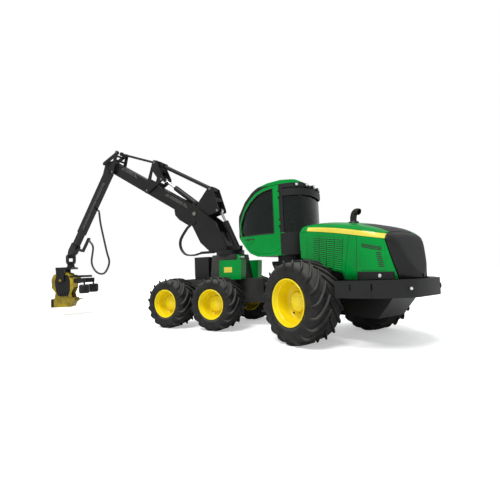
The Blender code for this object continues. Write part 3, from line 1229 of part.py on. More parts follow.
def head(slide, axis, finishes):
    """The hanger, the rotator and the harvester head, upright as it hangs."""
    tilt = BOOM_RISE - STICK_DROP
    hang = empty("hanger", slide, (STICK_LENGTH, 0, axis), 0, -tilt)
    gap = STICK_WIDTH / 2 + PLATE_GAP
    drop = HANGER_DROP
    eye = TIP_EYE
    top = -drop - ROTATOR_HEIGHT
    shapes = [
        prism(slot_outline((0, -drop + eye), (0, 0), 2 * eye), gap, gap + PLATE),
        prism(slot_outline((0, -drop + eye), (0, 0), 2 * eye), -gap - PLATE, -gap),
        drum(-drop, -drop + 2 * PLATE, ROTATOR_RADIUS * 1.1, 28, "z"),
    ]
    solid("hanger", hang, finishes["black"], shapes, adds=[pin((0, 0), gap + PLATE)])
    body = empty("rotator", hang, (0, 0, 0), HEAD_TURN)
    radius = ROTATOR_RADIUS
    half = HEAD_HALF
    plate = HEAD_PLATE
    reach = half + PLATE_GAP
    arm_out = reach + 2 * plate
    pivot = top - HEAD_PIVOT_DROP
    beam_low = top - HEAD_PIVOT_DROP * 0.16
    shapes = [
        turned([(top - plate, 0), (top - plate, radius), (top + plate, radius), (top + plate * 1.5, radius * 0.85),
                (-drop - plate, radius * 0.85), (-drop - SEAT_GAP, radius), (-drop - SEAT_GAP, 0)], 28, "z"),
        block(-HEAD_SETBACK * 1.6, radius, -arm_out, arm_out, beam_low, top),
    ]
    arm = [
        (-HEAD_SETBACK * 1.6, top), (-HEAD_SETBACK * 0.4, top), (-HEAD_SETBACK * 0.55, pivot - radius * 0.3),
        (-HEAD_SETBACK * 0.8, pivot - radius * 0.6), (-HEAD_SETBACK * 1.2, pivot - radius * 0.6),
        (-HEAD_SETBACK * 1.45, pivot - radius * 0.3),
    ]
    shapes += [prism(arm, reach, arm_out), prism(arm, -arm_out, -reach)]
    solid("head_yoke", body, finishes["black"], shapes, [bore((-HEAD_SETBACK, pivot), arm_out)])

    frame = empty("head", body, (-HEAD_SETBACK, 0, pivot))
    inner = half - plate
    depth, height = HEAD_DEPTH, HEAD_HEIGHT
    feed_x, knife_x, hinge_y = depth * 0.62, depth * 0.46, half - plate / 2
    feed_z = (-height * 0.085, height * 0.045)
    knife_z = (feed_z[1] + plate, height * 0.125)
    lug = plate * 1.6
    shapes = [head_side(CHEEK_SHARES, inner, half), head_side(CHEEK_SHARES, -half, -inner),
              block(-depth * 0.41, -depth * 0.31, -half, half, -height * 0.18, height * 0.03),
              block(depth * 0.40, depth * 0.54, -half, half, -height * 0.20, feed_z[1])]
    cuts = [head_side(CHEEK_WINDOW_SHARES, inner - OVERRUN * 0.1, half + OVERRUN),
            head_side(CHEEK_WINDOW_SHARES, -half - OVERRUN, -inner + OVERRUN * 0.1)]
    cuts.append(block(knife_x - lug * 1.35, depth, -depth, depth, knife_z[0], knife_z[1]))
    for side in (1, -1):
        ys = sorted((side * (hinge_y - lug), side * (hinge_y + lug)))
        for low in (feed_z[0] - plate, feed_z[1]):
            shapes.append(block(depth * 0.45, feed_x + lug, ys[0], ys[1], low, low + plate))
        shapes.append(block(knife_x - lug * 2, knife_x + lug, ys[0], ys[1], knife_z[1], knife_z[1] + plate))
    stub = stubs((0, 0), half - plate / 2, arm_out + plate / 2)
    solid("head_body", frame, finishes["yellow"], shapes, cuts, adds=stub)
    seat = inner - SEAT_GAP
    solid("head_core", frame, finishes["black"], [
        head_side(CORE_SHARES, -seat, seat),
        moved(drum(-seat * 0.8, seat * 0.8, depth * 0.17, 20), (depth * 0.06, 0, height * 0.12)),
    ])
    saw_half = half * 1.1
    spike = saw_half * 0.2
    solid("saw_box", frame, finishes["yellow"], [
        head_side(SAW_BOX_SHARES, -saw_half, saw_half), head_side(SAW_SPIKE_SHARES, -spike, spike)])
    for side, label in ((1, "left"), (-1, "right")):
        hinge = empty("feed_arm_" + label, frame, (feed_x, side * hinge_y, 0))
        out = (depth * 0.55, side * depth * 0.33)
        low, high = feed_z[0] + SEAT_GAP, feed_z[1] - SEAT_GAP
        roller_top = low - plate * 2
        arm = [
            prism(slot_outline((0, 0), out, lug * 2, lug * 1.7), low, high, "z"),
            drum(roller_top - plate, high - plate / 2, lug * 0.7, 16, "z", out),
            turned([(roller_top - ROLLER_HEIGHT, 0), (roller_top - ROLLER_HEIGHT, ROLLER_RADIUS * 0.8),
                    (roller_top - ROLLER_HEIGHT * 0.85, ROLLER_RADIUS), (roller_top - ROLLER_HEIGHT * 0.15, ROLLER_RADIUS),
                    (roller_top, ROLLER_RADIUS * 0.8), (roller_top, 0)], 24, "z", out),
        ]
        solid("feed_arm_" + label, hinge, finishes["black"], arm)
        hinge = empty("knife_" + label, frame, (knife_x, side * hinge_y, 0))
        radius = depth * 0.38
        steps = 10
        outer = []
        for i in range(steps + 1):
            angle = math.radians(188 - 165 * i / steps)
            outer.append((radius * (0.92 + math.cos(angle)), side * radius * (math.sin(angle) + 0.1)))
        inside = []
        for i in range(steps + 1):
            angle = math.radians(188 - 165 * i / steps)
            share = 0.72 + 0.24 * i / steps
            inside.append((radius * (0.92 + share * math.cos(angle)), side * radius * (share * math.sin(angle) + 0.1)))
        low, high = knife_z[0] + SEAT_GAP, knife_z[1] - SEAT_GAP
        knife = [prism(outer + inside[::-1], low, high, "z"), drum(low, high, lug, 20, "z")]
        solid("knife_" + label, hinge, finishes["yellow"], knife)
    return hang


def build():
    clear_scene()
    finishes = {
        "green": material("green_paint", GREEN, 0.3),
        "yellow": material("yellow_paint", YELLOW, 0.35),
        "black": material("black_paint", BLACK, 0.45),
        "dark": material("dark_moulding", GREY, 0.6),
        "grey": material("grey_casting", GREY, 0.55),
        "steel": material("plated_rod", STEEL, 0.2, 1),
        "rubber": material("tyre_rubber", RUBBER, 0.85),
        "glass": material("tinted_glass", GLAZING, 0.05),
    }
    machine = empty("machine", None, (-CENTRE_X, -CENTRE_Y, 0))
    rear_frame(machine, finishes)
    for side, label in ((1, "rear_left"), (-1, "rear_right")):
        place = (0, side * REAR_TRACK, REAR_RADIUS)
        wheel(label, machine, place, REAR_RADIUS, REAR_WIDTH, REAR_RIM, side, REAR_DISH, finishes)
    hood(machine, finishes)
    bumper(machine, finishes)
    exhaust(machine, finishes)
    cab(machine, finishes)
    front = front_frame(machine, finishes)
    slew, boom = crane(front, finishes)
    stick_frame, slide, axis = stick(boom, finishes)
    head(slide, axis, finishes)


build()
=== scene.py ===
"""A six-wheeled forestry harvester in a plain white studio: the looks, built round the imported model.

Metres, in the model's own frame: +X forward along the rear frame, +Y to its left, +Z up, standing on z = 0.
"""

import math

import bmesh
import bpy
from mathutils import Matrix, Vector


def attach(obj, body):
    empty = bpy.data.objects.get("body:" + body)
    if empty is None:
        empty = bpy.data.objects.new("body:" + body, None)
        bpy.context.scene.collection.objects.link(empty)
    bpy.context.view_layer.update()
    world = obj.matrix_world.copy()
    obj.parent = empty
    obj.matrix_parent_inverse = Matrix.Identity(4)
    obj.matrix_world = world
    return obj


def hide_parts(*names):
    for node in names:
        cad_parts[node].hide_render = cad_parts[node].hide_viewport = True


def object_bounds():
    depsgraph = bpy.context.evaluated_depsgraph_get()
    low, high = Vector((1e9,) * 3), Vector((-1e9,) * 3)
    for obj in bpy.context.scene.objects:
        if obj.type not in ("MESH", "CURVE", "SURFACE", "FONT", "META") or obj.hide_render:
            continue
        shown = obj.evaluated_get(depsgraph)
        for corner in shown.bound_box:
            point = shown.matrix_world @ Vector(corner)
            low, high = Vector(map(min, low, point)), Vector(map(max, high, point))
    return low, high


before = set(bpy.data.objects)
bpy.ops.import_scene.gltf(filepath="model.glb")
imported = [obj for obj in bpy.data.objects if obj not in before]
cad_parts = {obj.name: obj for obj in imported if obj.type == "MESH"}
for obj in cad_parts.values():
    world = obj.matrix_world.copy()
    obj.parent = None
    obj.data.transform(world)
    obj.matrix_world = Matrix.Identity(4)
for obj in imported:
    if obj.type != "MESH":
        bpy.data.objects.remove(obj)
cad_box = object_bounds()


# The studio: white paper under the machine and white all round it, with soft daylight and one broad
# light overhead. The camera stands low, behind the machine's left side, where the photographer stood.
STUDIO_SIZE = 200.0
CAMERA_PLACE = (-9.162, 4.048, 1.469)
CAMERA_YAW, CAMERA_PITCH, CAMERA_ROLL = -0.603, 0.061, -0.038
CAMERA_FOCUS_PX, PHOTO_PX = 333.5, 500
SENSOR_WIDTH_MM = 36.0
PAPER_GLOW, PAPER_GAP = 0.42, 0.001
DAYLIGHT = 0.62
SUN_STRENGTH, SUN_SPREAD, SUN_FROM = 2.3, 24, (-0.25, 0.55, 1.0)


def linear(colour):
    """An sRGB hex colour as the linear values that a shader takes."""
    shares = [int(colour[i:i + 2], 16) / 255 for i in (1, 3, 5)]
    return tuple(c / 12.92 if c <= 0.04045 else ((c + 0.055) / 1.055) ** 2.4 for c in shares) + (1.0,)


def node(tree, kind, sockets=(), **settings):
    """Adds one node with its settings, and fills or links its sockets."""
    made = tree.nodes.new("ShaderNode" + kind)
    for name, value in settings.items():
        setattr(made, name, value)
    for socket, value in dict(sockets).items():
        if isinstance(value, bpy.types.NodeSocket):
            tree.links.new(value, made.inputs[socket])
        else:
            made.inputs[socket].default_value = value
    return made


def blank(name):
    """A new material with an empty node tree."""
    made = bpy.data.materials.new(name)
    made.use_nodes = True
    made.node_tree.nodes.clear()
    return made, made.node_tree


# Matt white background paper: it shows as white, and still takes the machine's soft shadow.
background_paper, tree = blank("background_paper")
sheen_free = node(tree, "BsdfDiffuse", {"Color": linear("#f6f6f6")})
glow = node(tree, "Emission", {"Color": linear("#ffffff"), "Strength": PAPER_GLOW})
lifted = node(tree, "AddShader", {0: sheen_free.outputs[0], 1: glow.outputs[0]})
ray = node(tree, "LightPath")
shown = node(tree, "MixShader", {
    0: ray.outputs["Is Camera Ray"], 1: sheen_free.outputs[0], 2: lifted.outputs[0]})
node(tree, "OutputMaterial", {"Surface": shown.outputs[0]})
mesh = bpy.data.meshes.new("studio_floor")
reach = STUDIO_SIZE / 2
corners = [(-reach, -reach, 0), (reach, -reach, 0), (reach, reach, 0), (-reach, reach, 0)]
mesh.from_pydata(corners, [], [(0, 1, 2, 3)])
mesh.materials.append(background_paper)
floor = bpy.data.objects.new("studio_floor", mesh)
floor.location.z = cad_box[0].z - PAPER_GAP
bpy.context.scene.collection.objects.link(floor)

world = bpy.data.worlds.new("white_surround")
bpy.context.scene.world = world
world.use_nodes = True
tree = world.node_tree
tree.nodes.clear()
daylight = node(tree, "Background", {"Color": linear("#fbfdff"), "Strength": DAYLIGHT})
white = node(tree, "Background", {"Color": linear("#ffffff"), "Strength": 1.0})
ray = node(tree, "LightPath")
direct = node(tree, "Math", {
    0: ray.outputs["Is Camera Ray"], 1: ray.outputs["Is Transmission Ray"]}, operation="MAXIMUM")
surround = node(tree, "MixShader", {0: direct.outputs[0], 1: daylight.outputs[0], 2: white.outputs[0]})
node(tree, "OutputWorld", {"Surface": surround.outputs[0]})

overhead = bpy.data.lights.new("overhead_light", "SUN")
overhead.energy = SUN_STRENGTH
overhead.angle = math.radians(SUN_SPREAD)
lamp = bpy.data.objects.new("overhead_light", overhead)
lamp.rotation_mode = "QUATERNION"
lamp.rotation_quaternion = Vector(SUN_FROM).to_track_quat("Z", "Y")
bpy.context.scene.collection.objects.link(lamp)

cos_pitch, sin_pitch = math.cos(CAMERA_PITCH), math.sin(CAMERA_PITCH)
ahead = Vector((cos_pitch * math.cos(CAMERA_YAW), cos_pitch * math.sin(CAMERA_YAW), sin_pitch))
level_right = Vector((math.sin(CAMERA_YAW), -math.cos(CAMERA_YAW), 0))
level_up = level_right.cross(ahead)
right = level_right * math.cos(CAMERA_ROLL) + level_up * math.sin(CAMERA_ROLL)
up = level_up * math.cos(CAMERA_ROLL) - level_right * math.sin(CAMERA_ROLL)
lens = bpy.data.cameras.new("photographer")
lens.sensor_width = SENSOR_WIDTH_MM
lens.lens = lens.sensor_width * CAMERA_FOCUS_PX / PHOTO_PX
lens.clip_end = STUDIO_SIZE * 2
camera = bpy.data.objects.new("photographer", lens)
camera.matrix_world = Matrix.Translation(CAMERA_PLACE) @ Matrix((right, up, -ahead)).transposed().to_4x4()
bpy.context.scene.collection.objects.link(camera)
bpy.context.scene.camera = camera
bpy.context.scene.view_settings.view_transform = "Standard"


# The rear frame: a welded steel box that carries the engine, the cab's turning ring and the rear axle. It is
# sprayed in satin black, and road dust lies on what faces up.
REAR_AXLE = Matrix.Translation((-4.264, -1.609, 0))
FRAME_EDGE = 0.008
EDGE_STEPS = 2
SEAM_WELD, FLAT_ANGLE = 0.0002, 0.4


def enamel(name, colour, shade, dust, roughness, coat, shine=0.2):
    """Sprayed paint on steel: a colour that drifts a little, fine orange peel, and dust on what faces up."""
    made, tree = blank(name)
    place = node(tree, "TexCoord")
    # Drifts over about 0.6 m, as a big sprayed panel does.
    drift = node(tree, "TexNoise", {"Vector": place.outputs["Object"], "Scale": 1.7, "Detail": 5.0})
    spread = node(tree, "MapRange", {"Value": drift.outputs["Fac"], "From Min": 0.35, "From Max": 0.65})
    body_colour = node(tree, "Mix", {
        0: spread.outputs[0], 6: linear(colour), 7: linear(shade)}, data_type="RGBA")
    facing = node(tree, "NewGeometry")
    parts = node(tree, "SeparateXYZ", {0: facing.outputs["Normal"]})
    top = node(tree, "MapRange", {"Value": parts.outputs["Z"], "From Min": 0.25, "From Max": 1.0})
    # Grains and smears of dried mud about 30 mm across.
    grime = node(tree, "TexNoise", {
        "Vector": place.outputs["Object"], "Scale": 32.0, "Detail": 6.0, "Roughness": 0.7})
    patch = node(tree, "MapRange", {"Value": grime.outputs["Fac"], "From Min": 0.42, "From Max": 0.72})
    amount = node(tree, "Math", {0: top.outputs[0], 1: dust}, operation="MULTIPLY")
    covered = node(tree, "Math", {
        0: amount.outputs[0], 1: patch.outputs[0]}, operation="MULTIPLY", use_clamp=True)
    final = node(tree, "Mix", {
        0: covered.outputs[0], 6: body_colour.outputs[2], 7: linear("#8d8576")}, data_type="RGBA")
    dull = node(tree, "MapRange", {
        "Value": grime.outputs["Fac"], "To Min": roughness - 0.06, "To Max": roughness + 0.10})
    # Orange peel is 2 to 3 mm across, drawn at about 12 mm so that it shows.
    peel = node(tree, "TexNoise", {"Vector": place.outputs["Object"], "Scale": 85.0, "Detail": 2.0})
    relief = node(tree, "Bump", {"Height": peel.outputs["Fac"], "Strength": 0.05, "Distance": 0.004})
    shader = node(tree, "BsdfPrincipled", {
        "Base Color": final.outputs[2], "Roughness": dull.outputs[0], "Normal": relief.outputs[0],
        "Specular IOR Level": shine, "Coat Weight": coat, "Coat Roughness": 0.12})
    node(tree, "OutputMaterial", {"Surface": shader.outputs[0]})
    return made


def round_edges(part, width, crisp):
    """Bevels the edges that turn more than an angle, as worn or rolled ones."""
    rounded = part.modifiers.new("Rounded", "BEVEL")
    rounded.width = width
    rounded.segments = EDGE_STEPS
    rounded.limit_method = "ANGLE"
    rounded.angle_limit = math.radians(crisp)
    return rounded


def dressed(name, finish, edge, crisp=32):
    """Gives a part of the frame its finish, with worn round edges and smooth shading."""
    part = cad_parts[name]
    part.data.materials.clear()
    part.data.materials.append(finish)
    if "custom_normal" in part.data.attributes:
        part.data.attributes.remove(part.data.attributes["custom_normal"])
    part.data.shade_smooth()
    sewn = part.modifiers.new("Sewn", "WELD")
    sewn.merge_threshold = SEAM_WELD
    flats = part.modifiers.new("Flats", "DECIMATE")
    flats.decimate_type = "DISSOLVE"
    flats.angle_limit = math.radians(FLAT_ANGLE)
    if edge:
        round_edges(part, edge, crisp).harden_normals = True
    split = part.modifiers.new("Split", "EDGE_SPLIT")
    split.split_angle = math.radians(crisp)
    return part


satin_black = enamel("satin_black_enamel", "#0e0e0e", "#161615", 0.22, 0.42, 0.04, 0.28)
casting_grey = enamel("grey_primed_casting", "#2c2c2b", "#3f3e3c", 0.5, 0.6, 0.0, 0.25)
dressed("rear_chassis", satin_black, FRAME_EDGE)
dressed("rear_axle", satin_black, FRAME_EDGE)
dressed("engine_block", casting_grey, FRAME_EDGE)


# The tyres: flotation forestry tyres of black rubber, moulded with slanted lugs in a V. The lugs are worn
# smooth on top and dry mud greys them in patches, and what faces up carries a painted highlight.
TYRES = {
    "rear": {"radius": 0.822, "width": 0.71, "rim": 0.455, "lugs": 19, "sweep": 31.0},
    "bogie": {"radius": 0.665, "width": 0.71, "rim": 0.362, "lugs": 17, "sweep": 34.0},
}
WHEELS = {
    "rear_left": ("rear", (0, 1.135, 0.822)), "rear_right": ("rear", (0, -1.135, 0.822)),
    "middle_left": ("bogie", (1.40, 0.985, 0.665)), "middle_right": ("bogie", (1.40, -0.985, 0.665)),
    "front_left": ("bogie", (2.90, 0.985, 0.665)), "front_right": ("bogie", (2.90, -0.985, 0.665)),
}
STEER_DEGREES = 26.4
FRONT_FRAME = (REAR_AXLE @ Matrix.Translation((1.84, 0, 0))
               @ Matrix.Rotation(math.radians(STEER_DEGREES), 4, "Z"))
LUG_HEIGHT = 0.05
LUG_FOOT_HALF, LUG_TOP_HALF = 0.040, 0.023
TYRE_EDGE, TYRE_CRISP = 0.008, 38
# Half of the carcass: share of the half width, share of the height from the rim to below the lugs.
CARCASS = [
    (0.60, 0.0), (0.70, 0.012), (0.84, 0.035), (0.915, 0.075), (0.925, 0.12), (0.955, 0.16),
    (0.985, 0.27), (1.0, 0.42), (0.998, 0.58), (0.975, 0.73), (0.93, 0.86), (0.86, 0.945),
    (0.74, 0.985), (0.5, 1.0), (0.2, 1.005),
]
# A lug, from the middle of the tread to its end on the shoulder: share of the sweep, then for its top and its
# foot the share of the half width and the height above the carcass in lug heights.
LUG_SECTIONS = [
    (-0.04, 0.0, 0.93, 0.0, -0.6), (0.28, 0.30, 1.0, 0.30, -0.6), (0.56, 0.60, 1.0, 0.60, -0.6),
    (0.76, 0.80, 0.94, 0.78, -0.9), (0.89, 0.93, 0.45, 0.84, -1.5), (0.965, 0.995, -0.7, 0.88, -2.2),
    (1.0, 1.012, -1.9, 0.92, -3.0), (1.02, 0.99, -3.1, 0.93, -3.9),
]


def turned(profile, sides, axis="y", closed=True):
    """A profile of (level, radius) turned about an axis, closed on itself or with points on the axis."""
    order = {"y": (0, 2, 1), "z": (0, 1, 2), "x": (1, 2, 0)}[axis]
    points, rings, faces = [], [], []
    for level, radius in profile:
        ring = []
        for i in range(sides if radius > 0 else 1):
            point = [0, 0, 0]
            point[order[0]] = radius * math.cos(2 * math.pi * i / sides)
            point[order[1]] = radius * math.sin(2 * math.pi * i / sides)
            point[order[2]] = level
            ring.append(len(points))
            points.append(tuple(point))
        rings.append(ring)
    for ring, after in zip(rings, rings[1:] + rings[:1] if closed else rings[1:]):
        if len(ring) == 1 and len(after) == 1:
            continue
        for i in range(sides):
            j = (i + 1) % sides
            corners = [ring[i % len(ring)], ring[j % len(ring)], after[j % len(after)], after[i % len(after)]]
            faces.append(tuple(dict.fromkeys(corners)))
    return points, faces


def placed(shape, matrix):
    points, faces = shape
    return [tuple(matrix @ Vector(point)) for point in points], faces


def strip_faces(rings, around):
    """The four-cornered faces between rings of points that follow each other in one list."""
    return [(around * k + j, around * k + (j + 1) % around, around * (k + 1) + (j + 1) % around,
             around * (k + 1) + j) for k in range(rings - 1) for j in range(around)]


def mesh_from(name, shapes, finish, crisp):
    """One mesh from several closed shapes, smooth but for its edges."""
    work = bmesh.new()
    for points, faces in shapes:
        corners = [work.verts.new(point) for point in points]
        for face in faces:
            work.faces.new([corners[i] for i in face])
    bmesh.ops.recalc_face_normals(work, faces=work.faces)
    made = bpy.data.meshes.new(name)
    work.to_mesh(made)
    work.free()
    made.shade_smooth()
    made.set_sharp_from_angle(angle=math.radians(crisp))
    made.materials.append(finish)
    return made


def piece(name, shapes, finish, body, at=None, edge=0, crisp=32):
    """A new piece that rides on a body: its shapes are drawn in the frame that at gives."""
    mesh = mesh_from(name, shapes, finish, crisp) if isinstance(shapes, list) else shapes
    made = bpy.data.objects.new(name, mesh)
    bpy.context.scene.collection.objects.link(made)
    made.matrix_world = at or Matrix.Identity(4)
    if edge:
        round_edges(made, edge, crisp).harden_normals = True
    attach(made, body)
    return made


def tyre_shapes(size):
    half, radius, rim = size["width"] / 2, size["radius"], size["rim"]
    base = radius - LUG_HEIGHT
    side = [(half * across, rim + (base - rim) * rise) for across, rise in CARCASS]
    shapes = [turned(side + [(-y, r) for y, r in reversed(side)], 96)]
    for hand in (1, -1):
        for i in range(size["lugs"]):
            start = 360 / size["lugs"] * (i + (0.5 if hand < 0 else 0))
            points = []
            for along, top, high, foot, low in LUG_SECTIONS:
                bend = along + 0.05 * math.sin(math.pi * max(0, min(1, along)))
                angle = math.radians(start + size["sweep"] * bend)
                for across, level, wide in (
                        (foot, low, LUG_FOOT_HALF), (foot, low, -LUG_FOOT_HALF),
                        (top, high, -LUG_TOP_HALF), (top, high, LUG_TOP_HALF)):
                    r = base + LUG_HEIGHT * level
                    turn = angle + wide / radius
                    points.append((r * math.cos(turn), hand * half * across, r * math.sin(turn)))
            last = len(points) - 4
            ends = [(0, 1, 2, 3), (last + 3, last + 2, last + 1, last)]
            shapes.append((points, ends + strip_faces(len(LUG_SECTIONS), 4)))
    return shapes


# Moulded rubber: nearly black and matt, greyed in patches by dried mud, with a fine mould grain, and a
# painted highlight on what faces up.
rubber_with_highlight, tree = blank("moulded_tyre_rubber")
place = node(tree, "TexCoord")
smear = node(tree, "TexNoise", {
    "Vector": place.outputs["Object"], "Scale": 7.0, "Detail": 8.0, "Roughness": 0.65})
amount = node(tree, "MapRange", {"Value": smear.outputs["Fac"], "From Min": 0.38, "From Max": 0.72})
tone = node(tree, "Mix", {0: amount.outputs[0], 6: linear("#131313"), 7: linear("#2e2d2c")}, data_type="RGBA")
# What faces up is mixed towards pale grey: a painted highlight of the light from above, not mud.
facing = node(tree, "NewGeometry")
parts = node(tree, "SeparateXYZ", {0: facing.outputs["Normal"]})
top = node(tree, "MapRange", {"Value": parts.outputs["Z"], "From Min": 0.2, "From Max": 1.0, "To Max": 0.5})
tone = node(tree, "Mix", {0: top.outputs[0], 6: tone.outputs[2], 7: linear("#75736f")}, data_type="RGBA")
grain = node(tree, "TexNoise", {"Vector": place.outputs["Object"], "Scale": 160.0, "Detail": 4.0})
relief = node(tree, "Bump", {"Height": grain.outputs["Fac"], "Strength": 0.25, "Distance": 0.003})
dull = node(tree, "MapRange", {"Value": smear.outputs["Fac"], "To Min": 0.55, "To Max": 0.85})
shader = node(tree, "BsdfPrincipled", {
    "Base Color": tone.outputs[2], "Roughness": dull.outputs[0], "Normal": relief.outputs[0],
    "Specular IOR Level": 0.25})
node(tree, "OutputMaterial", {"Surface": shader.outputs[0]})

tyre_meshes = {}
for kind, size in TYRES.items():
    tyre_meshes[kind] = mesh_from("tyre_" + kind, tyre_shapes(size), rubber_with_highlight, TYRE_CRISP)
wheel_places = {}
for label, (kind, place) in WHEELS.items():
    base_frame = REAR_AXLE if kind == "rear" else FRONT_FRAME
    wheel_places[label] = base_frame @ Matrix.Translation(place)
    tyre = piece("tread_" + label, tyre_meshes[kind], None, "wheel_" + label, wheel_places[label])
    round_edges(tyre, TYRE_EDGE, TYRE_CRISP)
    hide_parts("tyre_" + label)


# The wheels: rolled and pressed steel rims in bright yellow enamel, each with a dished disc, a ring of wheel
# nuts and the planetary hub's round cover.
RIM_DISH = {"rear": 0.27, "bogie": 0.20}
RIM_WALL = 0.018
HUB_RADIUS = 0.20
WHEEL_NUTS = 12
# The disc's face as a share of the half width, and the turns and place of two small black discs on it.
DISC_SHARE = 0.62
DARK_SPOT_TURNS, DARK_SPOT_INSET, DARK_SPOT_RADIUS = (250, 315), 0.105, 0.026


def bar(start, end, radius, sides=12, tip=None):
    """A round bar between two points, its tip's radius its own if given."""
    start, end = Vector(start), Vector(end)
    turn = (end - start).to_track_quat("Z", "Y").to_matrix().to_4x4()
    long = (end - start).length
    profile = [(0, 0), (0, radius), (long, radius if tip is None else tip), (long, 0)]
    return placed(turned(profile, sides, "z"), Matrix.Translation(start) @ turn)


def rim_shapes(size, dish, side):
    half, rim, hub = size["width"] / 2, size["rim"], HUB_RADIUS
    disc = half * DISC_SHARE - dish
    # From the outer bead down the dish, over the hub's cover, and back along the inside.
    profile = [
        (half * 0.90, rim + 0.003), (half * 0.94, rim + 0.013), (half * 0.965, rim + 0.004),
        (half * 0.955, rim - 0.014), (half * 0.91, rim - 0.020), (half * 0.86, rim - 0.030),
        (half * 0.70, rim - 0.036), (half * 0.66, rim - 0.050), (disc + 0.09, rim - 0.054),
        (disc + 0.045, rim - 0.066), (disc + 0.012, rim - 0.10), (disc, rim - 0.14),
        (disc, hub * 1.42), (disc + 0.022, hub * 1.36), (disc + 0.024, hub * 1.02),
        (disc + dish * 0.40, hub * 0.97), (disc + dish * 0.47, hub * 0.88), (disc + dish * 0.47, hub * 0.52),
        (disc + dish * 0.50, hub * 0.48), (disc + dish * 0.50, 0), (disc - RIM_WALL, 0),
        (disc - RIM_WALL, rim - 0.12), (disc - 0.05, rim - 0.06), (-half * 0.62, rim - 0.05),
        (-half * 0.80, rim - 0.03), (-half * 0.93, rim - 0.012), (-half * 0.95, rim + 0.008),
        (-half * 0.90, rim + 0.003), (-half * 0.62, rim - 0.002), (half * 0.62, rim - 0.002),
    ]
    return [turned([(side * level, radius) for level, radius in profile], 72)]


def nut_shapes(size, dish, side):
    """The wheel nuts on their studs, and the small screws of the hub's cover."""
    disc = size["width"] / 2 * DISC_SHARE - dish
    nut_face, cover_face = disc + 0.023, disc + dish * 0.469
    # Nut, stud and screw: distance from the axle, face, height, radius and sides.
    kinds = ((HUB_RADIUS * 1.19, nut_face, 0.024, 0.019, 6), (HUB_RADIUS * 1.19, nut_face, 0.040, 0.010, 10),
             (HUB_RADIUS * 0.72, cover_face, 0.009, 0.010, 6))
    shapes = []
    for i in range(WHEEL_NUTS):
        angle = 2 * math.pi * (i + 0.5) / WHEEL_NUTS
        x, z = math.cos(angle), math.sin(angle)
        for spot, face, tall, radius, sides in kinds:
            shapes.append(bar((spot * x, side * face, spot * z), (spot * x, side * (face + tall), spot * z),
                              radius, sides))
    return shapes


def patterned(name, pattern, colours, finish, relief=None, span=None, ranged=None, kind="TexNoise",
              **settings):
    """A material whose one pattern mixes two colours, and may raise it or change one more value."""
    made, tree = blank(name)
    place = node(tree, "TexCoord")
    drawn = node(tree, kind, {"Vector": place.outputs["Object"], **pattern}, **settings).outputs["Fac"]
    share = drawn
    if span:
        share = node(tree, "MapRange", {"Value": drawn, "From Min": span[0], "From Max": span[1]}).outputs[0]
    tone = node(tree, "Mix", {0: share, 6: linear(colours[0]), 7: linear(colours[1])}, data_type="RGBA")
    sockets = {"Base Color": tone.outputs[2], **finish}
    if relief:
        bump = node(tree, "Bump", {"Height": drawn, "Strength": relief[0], "Distance": relief[1]})
        sockets["Normal"] = bump.outputs[0]
    if ranged:
        socket, low, high = ranged
        sockets[socket] = node(tree, "MapRange", {"Value": drawn, "To Min": low, "To Max": high}).outputs[0]
    shader = node(tree, "BsdfPrincipled", sockets)
    node(tree, "OutputMaterial", {"Surface": shader.outputs[0]})
    return made


# Bright yellow enamel: strong and glossy, a little deeper where it drifts.
wheel_yellow = enamel("wheel_yellow_enamel", "#f2dc14", "#e6cb0c", 0.06, 0.30, 0.2, 0.3)
# Black plastic: caps, grommets and gaskets, matt with a fine grain.
black_plastic = patterned("moulded_black_plastic", {"Scale": 140.0, "Detail": 3.0}, ("#111212", "#1d1e1e"),
                          {"Roughness": 0.5}, relief=(0.15, 0.002))

for label, (kind, _) in WHEELS.items():
    size, dish = TYRES[kind], RIM_DISH[kind]
    side = 1 if label.endswith("left") else -1
    body = "wheel_" + label
    rim = piece("wheel_disc_" + label, rim_shapes(size, dish, side), wheel_yellow, body, wheel_places[label],
                edge=0.003, crisp=40)
    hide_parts("rim_" + label)
    piece("wheel_nuts_" + label, nut_shapes(size, dish, side), wheel_yellow, body, wheel_places[label])
    depth = size["width"] / 2 * DISC_SHARE - dish
    # Two small black round discs on the wheel's disc.
    dark_spots = []
    for turn in DARK_SPOT_TURNS:
        x, z = math.cos(math.radians(turn)), math.sin(math.radians(turn))
        spot = size["rim"] - DARK_SPOT_INSET
        dark_spots.append(bar((spot * x, side * (depth + 0.004), spot * z),
                         (spot * x, side * (depth + 0.016), spot * z), DARK_SPOT_RADIUS, 16))
    piece("wheel_dark_spots_" + label, dark_spots, black_plastic, body, wheel_places[label])


# The engine hood: a thin moulded shell in glossy green with a wide rounded shoulder, and its rear end a
# separate black cap. It hinges at the rear frame, and a dark joint runs round the cap.
HOOD_FRONT, HOOD_REAR = 0.33, -1.86
HOOD_LOW, HOOD_TOP = 1.235, 2.42
HOOD_HALF = 0.76
HOOD_SHEET = 0.02
# Share of the length from the front, then the share of the half width or of the height there.
HOOD_WIDTH_SHARES = [
    (0, 0.955), (0.03, 1), (0.60, 1), (0.74, 0.935), (0.86, 0.75), (0.95, 0.44), (0.985, 0.22), (1, 0.04)]
HOOD_ROOF_SHARES = [
    (0, 0.97), (0.04, 1), (0.28, 0.985), (0.55, 0.90), (0.75, 0.79), (0.86, 0.68), (0.905, 0.60),
    (0.955, 0.32), (1, 0.06)]
HOOD_SILL_SHARES = [(0, 0.38), (0.20, 0.235), (0.36, 0.165), (0.52, 0.10), (0.522, 0.0), (1, 0.0)]
# The section from the sill to the middle of the roof: share of the half width, share of the height.
SHOULDER_SHARES = [
    (1, 0), (1, 0.78), (0.985, 0.85), (0.95, 0.905), (0.88, 0.945), (0.72, 0.972), (0.5, 0.985), (0, 1)]
CAP_LINE = [(-1.433, 2.5385), (-1.7067, 1.1165)]
CAP_JOINT = 0.012
